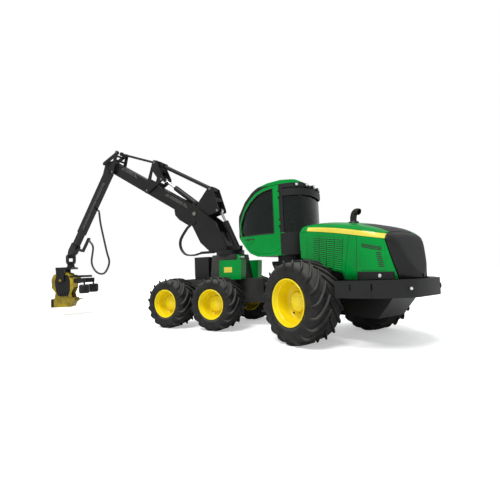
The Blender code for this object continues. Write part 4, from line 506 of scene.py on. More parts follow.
# The stripe's two ends: place along the hood, top and bottom. It bows up between them and is cut at the cap.
STRIPE_ENDS = [(0.10, 2.315, 2.235), (-1.60, 1.995, 1.915)]
STRIPE_BOW, STRIPE_STEPS, STRIPE_CUT = 0.034, 64, -1.56
# The dark deck on the hood's roof: where it begins, its share of the half width and its least height.
DECK_FRONT, DECK_SHARE, DECK_LOW = -0.98, 0.62, 1.7


def at_share(shares, value):
    """Reads a table of shares, in straight lines between its points."""
    for (a, low), (b, high) in zip(shares, shares[1:]):
        if value <= b or (b, high) == shares[-1]:
            along = max(0.0, min(1.0, (value - a) / (b - a)))
            return low + (high - low) * along
    return shares[-1][1]


def through(a, b, c, d, t):
    """A place between b and c on the smooth curve through four points or four numbers."""
    return (b * 2 + (c - a) * t + (a * 2 - b * 5 + c * 4 - d) * t * t + (b * 3 - a - c * 3 + d) * t ** 3) / 2


def eased(shares, steps=5):
    """The same table as a smooth curve through its points, for the long sweeps of a moulding."""
    ends = [shares[0], *shares, shares[-1]]
    curve = []
    for a, b, c, d in zip(ends, ends[1:], ends[2:], ends[3:]):
        for i in range(steps):
            curve.append(tuple(through(p, q, r, s, i / steps) for p, q, r, s in zip(a, b, c, d)))
    return curve + [shares[-1]]


HOOD_WIDTHS, HOOD_ROOFS = eased(HOOD_WIDTH_SHARES), eased(HOOD_ROOF_SHARES)
SHOULDER = eased(SHOULDER_SHARES, 4)


def hood_station(x):
    """The hood's half width, sill and roof at a place along it."""
    share = (HOOD_FRONT - x) / (HOOD_FRONT - HOOD_REAR)
    high = HOOD_LOW + (HOOD_TOP - HOOD_LOW) * at_share(HOOD_ROOFS, share)
    sill = HOOD_LOW + (HOOD_TOP - HOOD_LOW) * at_share(HOOD_SILL_SHARES, share)
    return HOOD_HALF * at_share(HOOD_WIDTHS, share), sill, high


def hood_skin(x, z, clear=0.0):
    """How far out the hood's side is at that place along it and that height."""
    half, _, high = hood_station(x)
    height = (z - HOOD_LOW) / (high - HOOD_LOW)
    for (wide, low), (wider, up_to) in zip(SHOULDER, SHOULDER[1:]):
        if height <= up_to:
            along = max(0.0, (height - low) / max(1e-6, up_to - low))
            return half * (wide + (wider - wide) * along) + clear
    return clear


def hood_shell(name, finish, keep):
    """The part of the hood's skin on one side of the cap's joint: keep is 1 for the front, -1 for the cap."""
    work = bmesh.new()
    rows = []
    stations = 72
    for i in range(stations + 1):
        share = i / stations
        if share > 0.5:
            share = 0.5 + 0.5 * math.sin(math.pi * (share - 0.5))
        x = HOOD_FRONT + (HOOD_REAR - HOOD_FRONT) * share
        half, sill, high = hood_station(x)
        section = []
        for wide, height in SHOULDER:
            level = HOOD_LOW + (high - HOOD_LOW) * height
            section.append((half * wide, max(sill, level)))
        points = [(y, z) for y, z in section] + [(-y, z) for y, z in reversed(section[:-1])]
        rows.append([work.verts.new((x, y, z)) for y, z in points])
    for row, after in zip(rows, rows[1:]):
        for a, b, c, d in zip(row, row[1:], after[1:], after):
            work.faces.new((a, b, c, d))
    work.faces.new(rows[0])
    (x0, z0), (x1, z1) = CAP_LINE
    across = Vector((z0 - z1, 0, -(x0 - x1))).normalized() * keep
    middle = Vector((x0, 0, z0)) + across * CAP_JOINT / 2
    everything = work.verts[:] + work.edges[:] + work.faces[:]
    bmesh.ops.bisect_plane(work, geom=everything, plane_co=middle, plane_no=across, clear_inner=True)
    bmesh.ops.remove_doubles(work, verts=work.verts, dist=0.0008)
    bmesh.ops.dissolve_degenerate(work, dist=0.0005, edges=work.edges)
    bmesh.ops.recalc_face_normals(work, faces=work.faces)
    made = bpy.data.meshes.new(name)
    work.to_mesh(made)
    work.free()
    made.shade_smooth()
    made.set_sharp_from_angle(angle=math.radians(34))
    made.materials.append(finish)
    made.materials.append(charcoal)
    for face in made.polygons:
        x, y, z = face.center
        if x < DECK_FRONT and abs(y) < DECK_SHARE * hood_station(x)[0] and z > DECK_LOW:
            face.material_index = 1
    shell = piece(name, made, None, "rear_frame", REAR_AXLE)
    thick = shell.modifiers.new("Sheet", "SOLIDIFY")
    thick.thickness = HOOD_SHEET
    thick.offset = -1
    return shell


def skin_ribbon(shapes, line, clear, deep, levels=6):
    """Adds a band along the hood's sides: for each place along it, the top and the bottom height."""
    for side in (1, -1):
        points = []
        around = 2 * (levels + 1)
        for x, high, low in line:
            heights = [high + (low - high) * k / levels for k in range(levels + 1)]
            points += [(x, side * hood_skin(x, z, clear), z) for z in heights]
            points += [(x, side * hood_skin(x, z, clear - deep), z) for z in reversed(heights)]
        last = len(points) - around
        ends = [tuple(range(around)), tuple(range(last + around - 1, last - 1, -1))]
        shapes.append((points, strip_faces(len(line), around) + ends))


def skin_panel(name, tops, bottoms, finish, clear, deep):
    """A panel that lies on the hood's sides, between a line of tops and a line of bottoms along x."""
    shapes, steps = [], 16
    line = []
    for i in range(steps + 1):
        x = tops[0][0] + (tops[-1][0] - tops[0][0]) * i / steps
        heights = []
        for run in (tops, bottoms):
            level = run[-1][1]
            for (xa, za), (xb, zb) in zip(run, run[1:]):
                if x >= xb - 1e-9:
                    level = za + (zb - za) * min(1.0, max(0.0, (x - xa) / (xb - xa)))
                    break
            heights.append(level)
        line.append((x, *heights))
    skin_ribbon(shapes, line, clear, deep, 10)
    return piece(name, shapes, finish, "rear_frame", REAR_AXLE)


# Glossy machine green over steel and moulded panels.
machine_green = enamel("machine_green_enamel", "#00923a", "#008534", 0.05, 0.25, 0.10, 0.10)
# Textured charcoal paint, as on moulded covers: black with a soft sheen.
charcoal = enamel("charcoal_textured_paint", "#151515", "#1b1b1b", 0.16, 0.5, 0.03, 0.3)
# The stripe is a strip of yellow film.
stripe_yellow = enamel("stripe_yellow_film", "#eadb62", "#e3cf45", 0.08, 0.3, 0.3)
green_shell = hood_shell("hood_shell", machine_green, 1)
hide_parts("hood")
cap_shell = hood_shell("hood_cap_shell", charcoal, -1)
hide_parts("hood_rear_cap")

stripe = []
(front_x, front_high, front_low), (rear_x, rear_high, rear_low) = STRIPE_ENDS
line = []
for i in range(STRIPE_STEPS + 1):
    t = i / STRIPE_STEPS
    x = front_x + (rear_x - front_x) * t
    bow = STRIPE_BOW * math.sin(math.pi * t)
    high = front_high + (rear_high - front_high) * t + bow
    line.append((x, high, front_low + (rear_low - front_low) * t + bow * 0.6))
skin_ribbon(stripe, [row for row in line if row[0] > STRIPE_CUT], 0.007, 0.014, 14)
piece("hood_stripe", stripe, stripe_yellow, "rear_frame", REAR_AXLE)

# Louvres: bent blades over a black sheet that is painted shade for the dark opening behind them, in four
# columns that follow the panel's slanted ends.
LOUVRE_TOP, LOUVRE_BOTTOM = [(-0.07, 2.10), (-0.84, 2.00)], [(-0.02, 1.57), (-0.77, 1.40)]
LOUVRE_COLUMNS, LOUVRE_BLADES = 4, 15
BLADE_SHEET = 0.005
BOX_FACES = [(0, 1, 2, 3), (7, 6, 5, 4), (0, 1, 5, 4), (1, 2, 6, 5), (2, 3, 7, 6), (3, 0, 4, 7)]


def between(a, b, share):
    return [a[k] + (b[k] - a[k]) * share for k in (0, 1)]


def on_skin(place, side, out):
    """A point on the hood's side, that far clear of it."""
    return place[0], side * hood_skin(*place, out), place[1]


shade_sheets, blades = [], []
for side in (1, -1):
    for column in range(LOUVRE_COLUMNS):
        corners = []
        for end in (column + 0.06, column + 0.94):
            share = end / LOUVRE_COLUMNS
            corners.append((between(*LOUVRE_TOP, share), between(*LOUVRE_BOTTOM, share)))
        (top_a, low_a), (top_b, low_b) = corners
        outline = [top_a, top_b, low_b, low_a]
        # A black sheet on the skin under each column: painted shade where the opening behind the blades is
        # dark.
        points = [on_skin(place, side, out) for out in (0.0025, -0.01) for place in outline]
        shade_sheets.append((points, BOX_FACES))
        for i in range(LOUVRE_BLADES):
            upper, lower = (i + 0.18) / LOUVRE_BLADES, (i + 0.80) / LOUVRE_BLADES
            points = [on_skin(between(top_a, low_a, upper), side, 0.004),
                      on_skin(between(top_b, low_b, upper), side, 0.004),
                      on_skin(between(top_b, low_b, lower), side, 0.016),
                      on_skin(between(top_a, low_a, lower), side, 0.016)]
            points += [(x, y - side * BLADE_SHEET, z) for x, y, z in points]
            blades.append((points, BOX_FACES))
piece("hood_louvre_shade_sheets", shade_sheets, black_plastic, "rear_frame", REAR_AXLE)
piece("hood_louvre_blades", blades, machine_green, "rear_frame", REAR_AXLE)

# Seams between the hood's panels, the raised vent panel with its slots, and the black lower band.
HOOD_SEAMS = [[(-1.00, 2.235), (-0.80, 1.24)], [(-1.13, 2.155), (-1.08, 1.37)], [(0.10, 2.30), (0.13, 1.66)]]
SEAM_STEPS = 24
SEAM_SECTION = [(-0.004, 0.0015), (0.004, 0.0015), (0.004, -0.006), (-0.004, -0.006)]
TOP_SLOTS, TOP_SLOT_PITCH, TOP_SLOT_RISE = 3, 0.026, 0.27
SIDE_SLOTS, SIDE_SLOT_PITCH = 8, 0.034
seams = []
for a, b in HOOD_SEAMS:
    for side in (1, -1):
        points = []
        for i in range(SEAM_STEPS + 1):
            x, z = between(a, b, i / SEAM_STEPS)
            points += [on_skin((x + dx, z), side, out) for dx, out in SEAM_SECTION]
        last = len(points) - 1
        ends = [(0, 1, 2, 3), (last, last - 1, last - 2, last - 3)]
        seams.append((points, strip_faces(SEAM_STEPS + 1, 4) + ends))
piece("hood_seams", seams, black_plastic, "rear_frame", REAR_AXLE)
skin_panel("hood_vent_panel", [(-1.18, 1.91), (-1.545, 1.81)], [(-1.18, 1.40), (-1.545, 1.39)],
           machine_green, 0.012, 0.02)
vents = []
for i in range(TOP_SLOTS):
    run = []
    for x in (-1.21, -1.26, -1.31, -1.36, -1.41, -1.46, -1.51):
        run.append((x, 1.868 - TOP_SLOT_PITCH * i + TOP_SLOT_RISE * (x + 1.21),
                    1.852 - TOP_SLOT_PITCH * i + TOP_SLOT_RISE * (x + 1.21)))
    skin_ribbon(vents, run, 0.0145, 0.01)
for i in range(SIDE_SLOTS):
    high = 1.70 - SIDE_SLOT_PITCH * i
    run = [(x - 0.04 * i / SIDE_SLOTS, high, high - 0.017) for x in (-1.425, -1.45, -1.475, -1.50)]
    skin_ribbon(vents, run, 0.0145, 0.01)
piece("hood_vent_slots", vents, black_plastic, "rear_frame", REAR_AXLE)
skin_panel("hood_lower_band", [(-1.10, 1.375), (-1.64, 1.36)], [(-1.10, 1.238), (-1.64, 1.238)],
           charcoal, 0.010, 0.02)
# Lamp glass: a bright pale lens with fine diagonal flutes and a clear gloss.
HOOD_LAMP = (-1.46, 1.295)
lamp_glass = patterned("fluted_lamp_glass", {"Scale": 22.0}, ("#e9edf0", "#bcc3c8"),
                       {"Roughness": 0.1, "Coat Weight": 1.0}, relief=(0.4, 0.004), kind="TexWave",
                       bands_direction="DIAGONAL")
lamps = []
for side in (1, -1):
    x, z = HOOD_LAMP
    y = hood_skin(x, z, 0.008)
    lamps.append(bar((x, side * y, z), (x, side * (y + 0.012), z), 0.034, 24, 0.028))
piece("hood_side_lamps", lamps, lamp_glass, "rear_frame", REAR_AXLE)


# The exhaust: a bent steel pipe that leaves the hood through a collar, painted satin black and browned by
# heat in patches.
EXHAUST_FOOT = (-0.72, 0.30, 2.30)
EXHAUST_RISE, EXHAUST_RADIUS = 0.20, 0.062
EXHAUST_PATH = [
    (0, -0.6), (0, 0.35), (-0.02, 0.62), (-0.12, 0.93), (-0.30, 1.10), (-0.52, 1.13), (-0.72, 1.06)]
EXHAUST_WALL, COLLAR_SUNK = 0.006, 0.012


def tube(path, radius, sides=20, wall=0.0):
    """A round tube along a path. With a wall it is open at its end, and it is closed at its start."""
    path = [Vector(point) for point in path]
    points, rings = [], []
    normal = None
    for i, point in enumerate(path):
        along = (path[min(i + 1, len(path) - 1)] - path[max(i - 1, 0)]).normalized()
        if normal is None:
            normal = along.orthogonal().normalized()
        normal = (normal - along * normal.dot(along)).normalized()
        rings.append((point, normal.copy(), along.cross(normal)))
    layers = [(ring, radius) for ring in rings]
    if wall:
        layers += [(ring, radius - wall) for ring in reversed(rings[1:])]
    for (point, out, across), r in layers:
        for k in range(sides):
            turn = 2 * math.pi * k / sides
            points.append(tuple(point + (out * math.cos(turn) + across * math.sin(turn)) * r))
    last = len(points) - sides
    ends = [tuple(range(sides - 1, -1, -1)), tuple(range(last, last + sides))]
    return points, strip_faces(len(layers), sides) + ends


def spline(points, steps=6):
    """A smooth curve through points, ends included."""
    points = [Vector(point) for point in points]
    ends = [points[0] * 2 - points[1], *points, points[-1] * 2 - points[-2]]
    curve = []
    for a, b, c, d in zip(ends, ends[1:], ends[2:], ends[3:]):
        curve += [through(a, b, c, d, i / steps) for i in range(steps)]
    return curve + [points[-1]]


# Pipe steel under heat-worn satin black, browner and duller in patches.
heated_pipe = patterned("heat_worn_exhaust_steel", {"Scale": 14.0, "Detail": 7.0, "Roughness": 0.7},
                        ("#1b1a19", "#3a2d25"), {"Roughness": 0.55, "Metallic": 0.4}, span=(0.45, 0.7))
foot = Vector(EXHAUST_FOOT)
path = spline([foot + Vector((a * EXHAUST_RISE, 0, b * EXHAUST_RISE)) for a, b in EXHAUST_PATH])
pipe = piece("exhaust_pipe", [tube(path, EXHAUST_RADIUS, 28, EXHAUST_WALL)], heated_pipe, "rear_frame",
             REAR_AXLE, crisp=50)
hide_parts("exhaust")
collar_z = hood_station(foot.x)[2] - COLLAR_SUNK
ring = turned([(-0.02, 0.105), (0.012, 0.10), (0.022, 0.092), (0.022, 0.066), (-0.02, 0.066)], 40, "z")
collar = placed(ring, Matrix.Translation((foot.x, foot.y, collar_z)))
piece("exhaust_collar", [collar], black_plastic, "rear_frame", REAR_AXLE)


# The rear bumper: a heavy fabricated guard in charcoal paint, with a small white lamp in a black ring
# towards each end.
BUMPER_EDGE = 0.012
BUMPER_LAMP, BUMPER_AIM = (-1.905, 0.47, 1.08), (0.85, -0.52)
dressed("bumper", charcoal, BUMPER_EDGE)


def touch(name, at, start, towards):
    """Where a line from start meets a part of the frame, in the coordinates of the frame at."""
    turn = at.to_3x3()
    way = (turn @ Vector(towards)).normalized()
    hit, place, _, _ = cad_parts[name].ray_cast(at @ Vector(start), way)
    return at.inverted() @ place if hit else None


bpy.context.view_layer.update()
for side in (1, -1):
    label = "left" if side > 0 else "right"
    aim = Vector((BUMPER_AIM[0], BUMPER_AIM[1] * side, 0)).normalized()
    x, y, z = BUMPER_LAMP
    spot = touch("bumper", REAR_AXLE, Vector((x, y * side, z)) - aim, aim)
    piece("bumper_lamp_" + label, [bar(spot + aim * 0.004, spot - aim * 0.012, 0.050, 32, 0.045)],
          black_plastic, "rear_frame", REAR_AXLE)
    piece("bumper_lens_" + label, [bar(spot - aim * 0.010, spot - aim * 0.020, 0.026, 32, 0.020)],
          lamp_glass, "rear_frame", REAR_AXLE)


# The cab: a welded green shell on dark roll-over pillars, with bonded safety glass, a sealed door, working
# lamps under the roof's edge and one seat inside.
CAB = REAR_AXLE @ Matrix.Translation((1.35, 0, 0)) @ Matrix.Rotation(math.radians(STEER_DEGREES), 4, "Z")
CAB_EDGE, PILLAR_EDGE, CAB_CRISP = 0.010, 0.006, 28
# How far the tub's dark rear faces reach forward.
TUB_DARK_TO = 0.05
# Dark green-grey safety glass: nearly opaque, and it shines where it is seen flat.
safety_glass = patterned("tinted_safety_glass", {"Scale": 2.5, "Detail": 4.0}, ("#060d0a", "#101b16"),
                         {"Roughness": 0.04, "Specular IOR Level": 0.35}, ranged=("Alpha", 0.80, 0.88))
for name in ("cab_tub", "cab_roof", "cab_door"):
    dressed(name, machine_green, CAB_EDGE, CAB_CRISP)
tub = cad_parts["cab_tub"]
tub.data.materials.append(charcoal)
into_cab = CAB.inverted()
for face in tub.data.polygons:
    if (into_cab @ face.center).x < TUB_DARK_TO:
        face.material_index = 1
CAB_BACK = [(-0.064, 0.74), (-0.27, 0.711), (-0.476, 0.578), (-0.606, 0.334), (-0.622, 0.0)]


def cab_band(name, low, high, proud, front):
    """A moulded band that wraps round the back of the cab between two heights."""
    half = [(front, CAB_BACK[0][1])] + CAB_BACK
    line = half + [(x, -y) for x, y in reversed(half[:-1])]
    points = []
    for i, (x, y) in enumerate(line):
        before, after = line[max(0, i - 1)], line[min(len(line) - 1, i + 1)]
        out = Vector((after[1] - before[1], before[0] - after[0], 0)).normalized()
        for clear, z in ((-0.006, low), (-0.006, high), (proud, high), (proud, low)):
            points.append(tuple(Vector((x, y, z)) + out * clear))
    ends = [(0, 1, 2, 3), tuple(range(len(points) - 1, len(points) - 5, -1))]
    return piece(name, [(points, strip_faces(len(line), 4) + ends)], charcoal, "cab", CAB, edge=0.002)


cab_band("cab_rear_skirt", 1.80, 2.305, 0.006, 0.038)
cab_band("cab_rear_visor", 3.17, 3.33, 0.012, -0.03)
dressed("cab_pillars", charcoal, PILLAR_EDGE, CAB_CRISP)
for name in ("door_glass", "cab_window_right", "cab_windscreen", "cab_rear_glass"):
    dressed(name, safety_glass, 0, CAB_CRISP)

# Rubber gaskets round the door's window and the right window, and the door's black pull handle.
CAB_TAIL, CAB_NOSE, CAB_LOW, CAB_HIGH, CAB_HALF = -0.62, 1.44, 1.79, 3.56, 0.74
# The cab from above: share of the length from the tail, share of the half width.
CAB_WIDTHS = [
    (0, 0), (0.01, 0.45), (0.07, 0.78), (0.17, 0.96), (0.27, 1), (0.62, 1), (0.78, 0.90), (0.92, 0.70),
    (0.985, 0.45), (1, 0)]
# The window's edge from the side: share of the length, share of the height.
WINDOW_SHARES = [
    (0.40, 0.30), (0.62, 0.30), (0.86, 0.30), (0.895, 0.38), (0.87, 0.50), (0.80, 0.635), (0.70, 0.755),
    (0.60, 0.835), (0.52, 0.875), (0.40, 0.90), (0.40, 0.60), (0.40, 0.30)]
GASKET_RADIUS, GASKET_CLEAR = 0.011, 0.003
HANDLE_ENDS, HANDLE_HEIGHT, HANDLE_RADIUS, HANDLE_OUT = (0.74, 0.90), 2.22, 0.012, (0.12, 0.045, 0)
for side, body, label in ((1, "cab_door", "door"), (-1, "cab", "right")):
    route = []
    for (a, low), (b, high) in zip(WINDOW_SHARES, WINDOW_SHARES[1:]):
        for i in range(4):
            along, up_to = a + (b - a) * i / 4, low + (high - low) * i / 4
            wide = CAB_HALF * at_share(CAB_WIDTHS, along) + GASKET_CLEAR
            route.append((CAB_TAIL + along * (CAB_NOSE - CAB_TAIL), side * wide,
                          CAB_LOW + up_to * (CAB_HIGH - CAB_LOW)))
    piece("cab_gasket_" + label, [tube(route + route[:1], GASKET_RADIUS, 8)], black_plastic, body, CAB)
bpy.context.view_layer.update()
pull = [touch("cab_door", CAB, (x, 1.5, HANDLE_HEIGHT), (0, -1, 0)) for x in HANDLE_ENDS]
out = Vector(HANDLE_OUT)
grip = [pull[0], pull[0] + out * 0.9, pull[1] + out * 0.9, pull[1]]
piece("cab_door_handle", [tube(spline(grip, 6), HANDLE_RADIUS, 12)], black_plastic, "cab_door", CAB)
# Lamp lenses: round white glass in the roof's front and rear lamps.
CAB_ROOF = 3.463
cab_lenses = []
for (a, wide), (b, wider) in zip(CAB_WIDTHS[:3], CAB_WIDTHS[1:4]):
    ends = [Vector((CAB_TAIL + share * (CAB_NOSE - CAB_TAIL), out * CAB_HALF, CAB_ROOF - 0.05))
            for share, out in ((a, wide), (b, wider))]
    middle, flat = (ends[0] + ends[1]) / 2, ends[1] - ends[0]
    away = Vector((-flat.y, flat.x, 0)).normalized()
    for side in (1, -1):
        start, end = middle + away * 0.026, middle + away * 0.046
        flip = Vector((1, side, 1))
        cab_lenses.append(bar(start * flip, end * flip, 0.033, 24, 0.026))
for i in range(4):
    y = CAB_HALF * 1.2 * (i / 3 - 0.5)
    x = CAB_TAIL + (CAB_NOSE - CAB_TAIL) * 0.58 + 0.05
    z = CAB_HIGH - 0.035
    cab_lenses.append(bar((x + 0.001, y, z), (x + 0.02, y, z), 0.042, 24, 0.034))
piece("cab_lamp_lenses", cab_lenses, lamp_glass, "cab", CAB)
# Woven seat cloth: dark threads. Real ones are about 2 mm across, and these are drawn at about 8 mm.
seat_cloth, tree = blank("woven_seat_cloth")
place = node(tree, "TexCoord")
thread = {"Vector": place.outputs["Object"], "Scale": 40.0, "Distortion": 1.0}
warp = node(tree, "TexWave", thread, bands_direction="Y")
weft = node(tree, "TexWave", thread, bands_direction="Z")
weave = node(tree, "Math", {0: warp.outputs["Fac"], 1: weft.outputs["Fac"]}, operation="MULTIPLY")
tone = node(tree, "Mix", {0: weave.outputs[0], 6: linear("#17181a"), 7: linear("#2c2e31")}, data_type="RGBA")
relief = node(tree, "Bump", {"Height": weave.outputs[0], "Strength": 0.5, "Distance": 0.004})
shader = node(tree, "BsdfPrincipled", {
    "Base Color": tone.outputs[2], "Roughness": 0.9, "Normal": relief.outputs[0], "Sheen Weight": 0.3})
node(tree, "OutputMaterial", {"Surface": shader.outputs[0]})
dressed("seat", seat_cloth, 0.02)


# The front frame: a casting-and-plate frame under the crane that carries the two rocking bogies, the side
# tanks and the main valve.
PLATE_MIDDLE, PLATE_HALF, PLATE_SHEET, TANK_FACE = (1.315, 1.505), (0.125, 0.070), 0.004, 0.60
TANK_LAMPS, TANK_LAMP_IN, TANK_LAMP_PLACE = 3, 0.37, (0.945, 1.825)
dressed("front_chassis", casting_grey, FRAME_EDGE)
for name in ("bogie_left", "bogie_right"):
    dressed(name, satin_black, 0.014)
for name in ("side_tank_left", "side_tank_right"):
    dressed(name, machine_green, 0.012)
valve = dressed("valve_housing", charcoal, FRAME_EDGE)
valve.data.materials.append(casting_grey)
for face in valve.data.polygons:
    if face.normal.z > 0.5:
        face.material_index = 1


def slab(middle, half, near, far):
    """A flat block between two depths: its middle and half sizes along x and z."""
    (x, z), (wide, high) = middle, half
    corners = ((-wide, -high), (wide, -high), (wide, high), (-wide, high))
    return [(x + dx, y, z + dz) for y in (near, far) for dx, dz in corners], BOX_FACES


# The tank's blank yellow plate, and the white lenses of its three lamps.
plate = slab(PLATE_MIDDLE, PLATE_HALF, TANK_FACE - PLATE_SHEET, TANK_FACE + PLATE_SHEET)
piece("tank_plate", [plate], stripe_yellow, "front_frame", FRONT_FRAME, edge=0.0015)
tank_lenses = []
for i in range(TANK_LAMPS):
    x, z = TANK_LAMP_PLACE
    y = TANK_LAMP_IN + (TANK_FACE - TANK_LAMP_IN) * (i + 0.5) / TANK_LAMPS
    tank_lenses.append(bar((x, y, z), (x - 0.024, y, z), 0.034, 24, 0.026))
piece("tank_lamp_lenses", tank_lenses, lamp_glass, "front_frame", FRONT_FRAME)


# The crane: welded box sections in satin black that dust has greyed, joined by turned pins. Two linkages tie
# the stick's swing to the main boom's.
BOOM_DEGREES, STICK_DEGREES = -30.3, 82.3
SLEW = FRONT_FRAME @ Matrix.Translation((1.60, 0, 0))
BOOM = SLEW @ Matrix.Translation((1.02, 0, 3.20)) @ Matrix.Rotation(math.radians(BOOM_DEGREES), 4, "Y")
STICK = BOOM @ Matrix.Translation((4.42, 0, 0.02)) @ Matrix.Rotation(math.radians(STICK_DEGREES), 4, "Y")
for name in ("crane_pillar", "rocker", "main_boom", "boom_lever", "rear_link", "front_link", "elbow_idler",
             "elbow_link", "stick", "lift_barrel", "luff_barrel"):
    dressed(name, satin_black, 0.007)
dressed("stick_extension", satin_black, 0.006)
# Steel hydraulic pipes run along the booms' left side in clamps; dust and wear have lightened them.
worn_pipe = patterned("worn_hydraulic_pipe", {"Scale": 30.0, "Detail": 6.0}, ("#1c1c1b", "#77756f"),
                      {"Roughness": 0.45, "Metallic": 0.35})
PIPE_RADIUS, PIPE_OUT, CLAMP_PITCH, CLAMP_HALF = 0.010, 0.013, 0.5, 0.02


def pipe_run(name, body, at, face, start, end, levels, drop):
    """Pipes side by side on a boom's side, bent inwards at their ends, with clamps along them."""
    runs, clamps = [], []
    out = face + PIPE_OUT
    for i, z in enumerate(levels):
        a, b = start + 0.03 * i, end - 0.03 * i
        route = [(a, face - 0.01, z - drop), (a + 0.05, out, z - drop * 0.6), (a + 0.13, out, z),
                 (b - 0.13, out, z), (b - 0.05, out, z - drop * 0.6), (b, face - 0.01, z - drop)]
        runs.append(tube(spline(route, 5), PIPE_RADIUS, 10))
    middle, half = (max(levels) + min(levels)) / 2, (max(levels) - min(levels)) / 2 + 0.022
    count = max(2, round((end - start) / CLAMP_PITCH))
    for i in range(count):
        x = start + 0.22 + (end - start - 0.44) * i / (count - 1)
        clamps.append(slab((x, middle), (CLAMP_HALF, half), face - 0.002, face + 0.027))
    piece(name + "_pipes", runs, worn_pipe, body, at)
    piece(name + "_clamps", clamps, black_plastic, body, at, edge=0.003)


pipe_run("boom_root", "main_boom", BOOM, 0.15, 0.45, 1.50, (0.02, 0.055, 0.09), 0.012)
pipe_run("boom_tip", "main_boom", BOOM, 0.15, 2.95, 3.85, (0.06, 0.095, 0.13), 0.012)
pipe_run("stick_side", "stick", STICK, 0.11, 0.75, 2.75, (-0.03, 0.005, 0.04), 0.012)
# Bolted caps over the crane's pins: round zinc-plated steel plates, each with three screws.
zinc = patterned("zinc_plated_steel", {"Scale": 60.0, "Detail": 5.0}, ("#a8a49a", "#6d675b"),
                 {"Roughness": 0.38, "Metallic": 0.85})
CAP_SCREWS = 3
# The part a cap lies on, its body, its place along the boom and across it, and its radius.
PIN_CAPS = [
    ("crane_pillar", "crane_pillar", 0.0, 0.0, 0.062), ("rocker", "rocker", -0.08, 0.85, 0.040),
    ("main_boom", "main_boom", 2.27, -0.14, 0.040), ("boom_lever", "boom_lever", 2.41, 0.80, 0.045),
    ("main_boom", "main_boom", 4.13, -0.18, 0.040), ("elbow_idler", "elbow_idler", 4.27, 0.50, 0.040),
    ("boom_lever", "boom_lever", 1.85, 0.42, 0.038), ("rocker", "rocker", -0.62, 0.40, 0.038)]
bpy.context.view_layer.update()
for i, (name, body, x, z, radius) in enumerate(PIN_CAPS):
    shapes = []
    for side in (1, -1):
        spot = touch(name, BOOM, (x, side, z), (0, -side, 0))
        if spot is None:
            continue
        lift = Vector((0, side, 0))
        shapes.append(bar(spot - lift * 0.004, spot + lift * 0.009, radius, 24, radius * 0.94))
        for k in range(CAP_SCREWS):
            turn = math.radians(90 + 360 / CAP_SCREWS * k)
            seat_of = spot + Vector((math.cos(turn), 0, math.sin(turn))) * radius * 0.62
            shapes.append(bar(seat_of + lift * 0.008, seat_of + lift * 0.017, radius * 0.17, 6))
    piece(f"pin_caps_{i + 1}", shapes, zinc, body, BOOM)
# Hard chrome on the cylinder rods: a mirror with a trace of oil.
hard_chrome = patterned("hard_chromed_rod", {"Scale": 18.0, "Detail": 6.0}, ("#d9dadb", "#b3b3b1"),
                        {"Metallic": 1.0}, ranged=("Roughness", 0.10, 0.30))
for name in ("lift_rod", "luff_rod"):
    dressed(name, hard_chrome, 0.004)


# The harvester head: a yellow welded frame hung on a rotator, with black delimbing knives, feed arms with
# their plain rollers, and the saw box below. Sap and bark have dulled its paint.
HANG_DEGREES, ROTATOR_DEGREES = -52, -145
HEAD = (STICK @ Matrix.Translation((4.13, 0, 0.1215)) @ Matrix.Rotation(math.radians(HANG_DEGREES), 4, "Y")
        @ Matrix.Rotation(math.radians(ROTATOR_DEGREES), 4, "Z") @ Matrix.Translation((-0.28, 0, -0.91)))
head_yellow = enamel("sap_worn_yellow_enamel", "#c4ab22", "#6e5f22", 0.35, 0.5, 0.02, 0.2)
for name in ("head_body", "saw_box"):
    dressed(name, head_yellow, 0.006)
for name in ("head_core", "head_yoke", "hanger", "feed_arm_left", "feed_arm_right", "knife_left",
             "knife_right"):
    dressed(name, satin_black, 0.005)

# The side covers, the hose fittings under them and the cover on the saw box's end.
HEAD_COVER = [
    (-0.17, 0.20), (0.26, 0.20), (0.33, 0.0), (0.33, -0.42), (0.25, -0.60), (-0.10, -0.60), (-0.19, -0.40),
    (-0.22, -0.05)]
HEAD_FACE, COVER_SHEET = 0.2202, 0.006
FITTINGS, FITTING_FIRST, FITTING_PITCH, FITTING_Z = 4, -0.05, 0.085, -0.46
SAW_COVER_LOW, SAW_COVER_HIGH = (-0.363, -0.244, -1.032), (-0.235, 0.244, -0.70)
covers, fittings = [], []
for side in (1, -1):
    count = len(HEAD_COVER)
    points = [(x, side * (HEAD_FACE + out), z) for out in (0, COVER_SHEET) for x, z in HEAD_COVER]
    faces = [tuple(range(count)), tuple(range(2 * count - 1, count - 1, -1))]
    faces += [(i, (i + 1) % count, count + (i + 1) % count, count + i) for i in range(count)]
    covers.append((points, faces))
    for i in range(FITTINGS):
        x, z, tip = FITTING_FIRST + FITTING_PITCH * i, FITTING_Z, side * (HEAD_FACE + 0.034)
        fittings.append(bar((x, side * HEAD_FACE, z), (x, tip, z), 0.020, 8))
        route = [(x, tip, z), (x + 0.01, side * (HEAD_FACE + 0.055), -0.50),
                 (x + 0.03, side * (HEAD_FACE + 0.05), -0.57), (x + 0.05, side * (HEAD_FACE + 0.01), -0.63)]
        fittings.append(tube(spline(route, 5), 0.013, 10))
piece("head_side_covers", covers, satin_black, "head_frame", HEAD, edge=0.002)
piece("head_hose_fittings", fittings, black_plastic, "head_frame", HEAD)
(x0, y0, low), (x1, y1, high) = SAW_COVER_LOW, SAW_COVER_HIGH
points = [(x, y, z) for z in (low, high) for x, y in ((x0, y0), (x1, y0), (x1, y1), (x0, y1))]
piece("saw_box_end_cover", [(points, BOX_FACES)], satin_black, "head_frame", HEAD, edge=0.022)


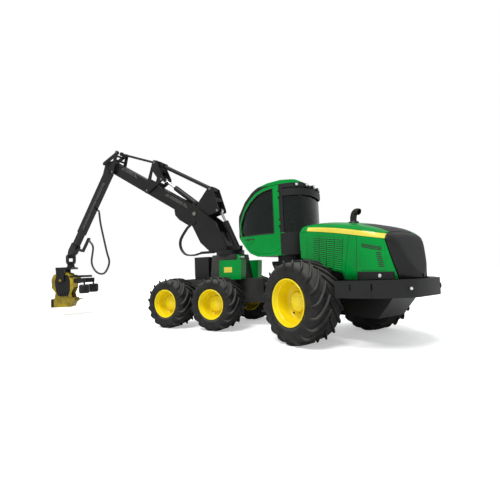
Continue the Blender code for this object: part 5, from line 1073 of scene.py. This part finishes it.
# The free hoses: rubber-covered hydraulic lines that hang in loops from the crane, each end at one of the
# frame's glands. The stick's loop is drawn thicker than its solid.
HOSE_RADIUS, STICK_HOSE_RADIUS = 0.024, 0.034
GLAND_REACH, STRAIGHT_END = 0.0504, 0.05
STICK_HOSE_START, STICK_HOSE_END = (1.80, -0.25), (2.96, -0.37)
STICK_HOSE = [
    (2.153, -0.650), (2.733, -1.483), (2.978, -1.852), (3.369, -1.904), (3.597, -1.726), (3.684, -1.388),
    (3.548, -1.041), (3.067, -0.780)]
COLUMN_HOSE_START, COLUMN_HOSE_END = (1.16, 2.93), (0.80, 2.03)
COLUMN_HOSE = [(1.36, 2.78), (1.60, 2.48), (1.60, 2.22), (1.42, 2.02), (1.12, 1.98)]
COLUMN_HOSE_SIDES = {"a": 0.232, "b": 0.292}

# Hose rubber: nearly black, with a fine uneven grain.
hose_rubber = patterned("braided_hose_rubber", {"Scale": 90.0, "Detail": 3.0}, ("#151515", "#262625"),
                        {"Roughness": 0.45}, relief=(0.2, 0.002))


def free_hose(name, cad_name, body, at, start, points, end, thick=HOSE_RADIUS):
    """A cord from gland to gland: its straight ends leave the glands, and a smooth loop joins them."""
    start, end = Vector(start), Vector(end)
    points = [Vector(point) for point in points]
    first = (points[0] - start).normalized()
    last = (points[-1] - end).normalized()
    head, tail = start + first * GLAND_REACH, end + last * GLAND_REACH
    route = [head] + spline([head + first * STRAIGHT_END, *points, tail + last * STRAIGHT_END]) + [tail]
    curve = bpy.data.curves.new(name, "CURVE")
    curve.dimensions = "3D"
    curve.bevel_depth = thick
    curve.bevel_resolution = 6
    curve.use_fill_caps = True
    line = curve.splines.new("POLY")
    line.points.add(len(route) - 1)
    for point, place in zip(line.points, route):
        point.co = (*(at @ place), 1)
    curve.materials.append(hose_rubber)
    made = bpy.data.objects.new(name, curve)
    bpy.context.scene.collection.objects.link(made)
    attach(made, body)
    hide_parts(cad_name)
    return made


free_hose("stick_loop_hose", "hose_stick", "stick", STICK, (STICK_HOSE_START[0], 0, STICK_HOSE_START[1]),
          [(x, 0, z) for x, z in STICK_HOSE], (STICK_HOSE_END[0], 0, STICK_HOSE_END[1]), STICK_HOSE_RADIUS)
for label, y in COLUMN_HOSE_SIDES.items():
    free_hose("column_loop_hose_" + label, "hose_column_" + label, "crane_pillar", SLEW,
              (COLUMN_HOSE_START[0], y, COLUMN_HOSE_START[1]), [(x, y, z) for x, z in COLUMN_HOSE],
              (COLUMN_HOSE_END[0], y, COLUMN_HOSE_END[1]))


bpy.context.view_layer.update()
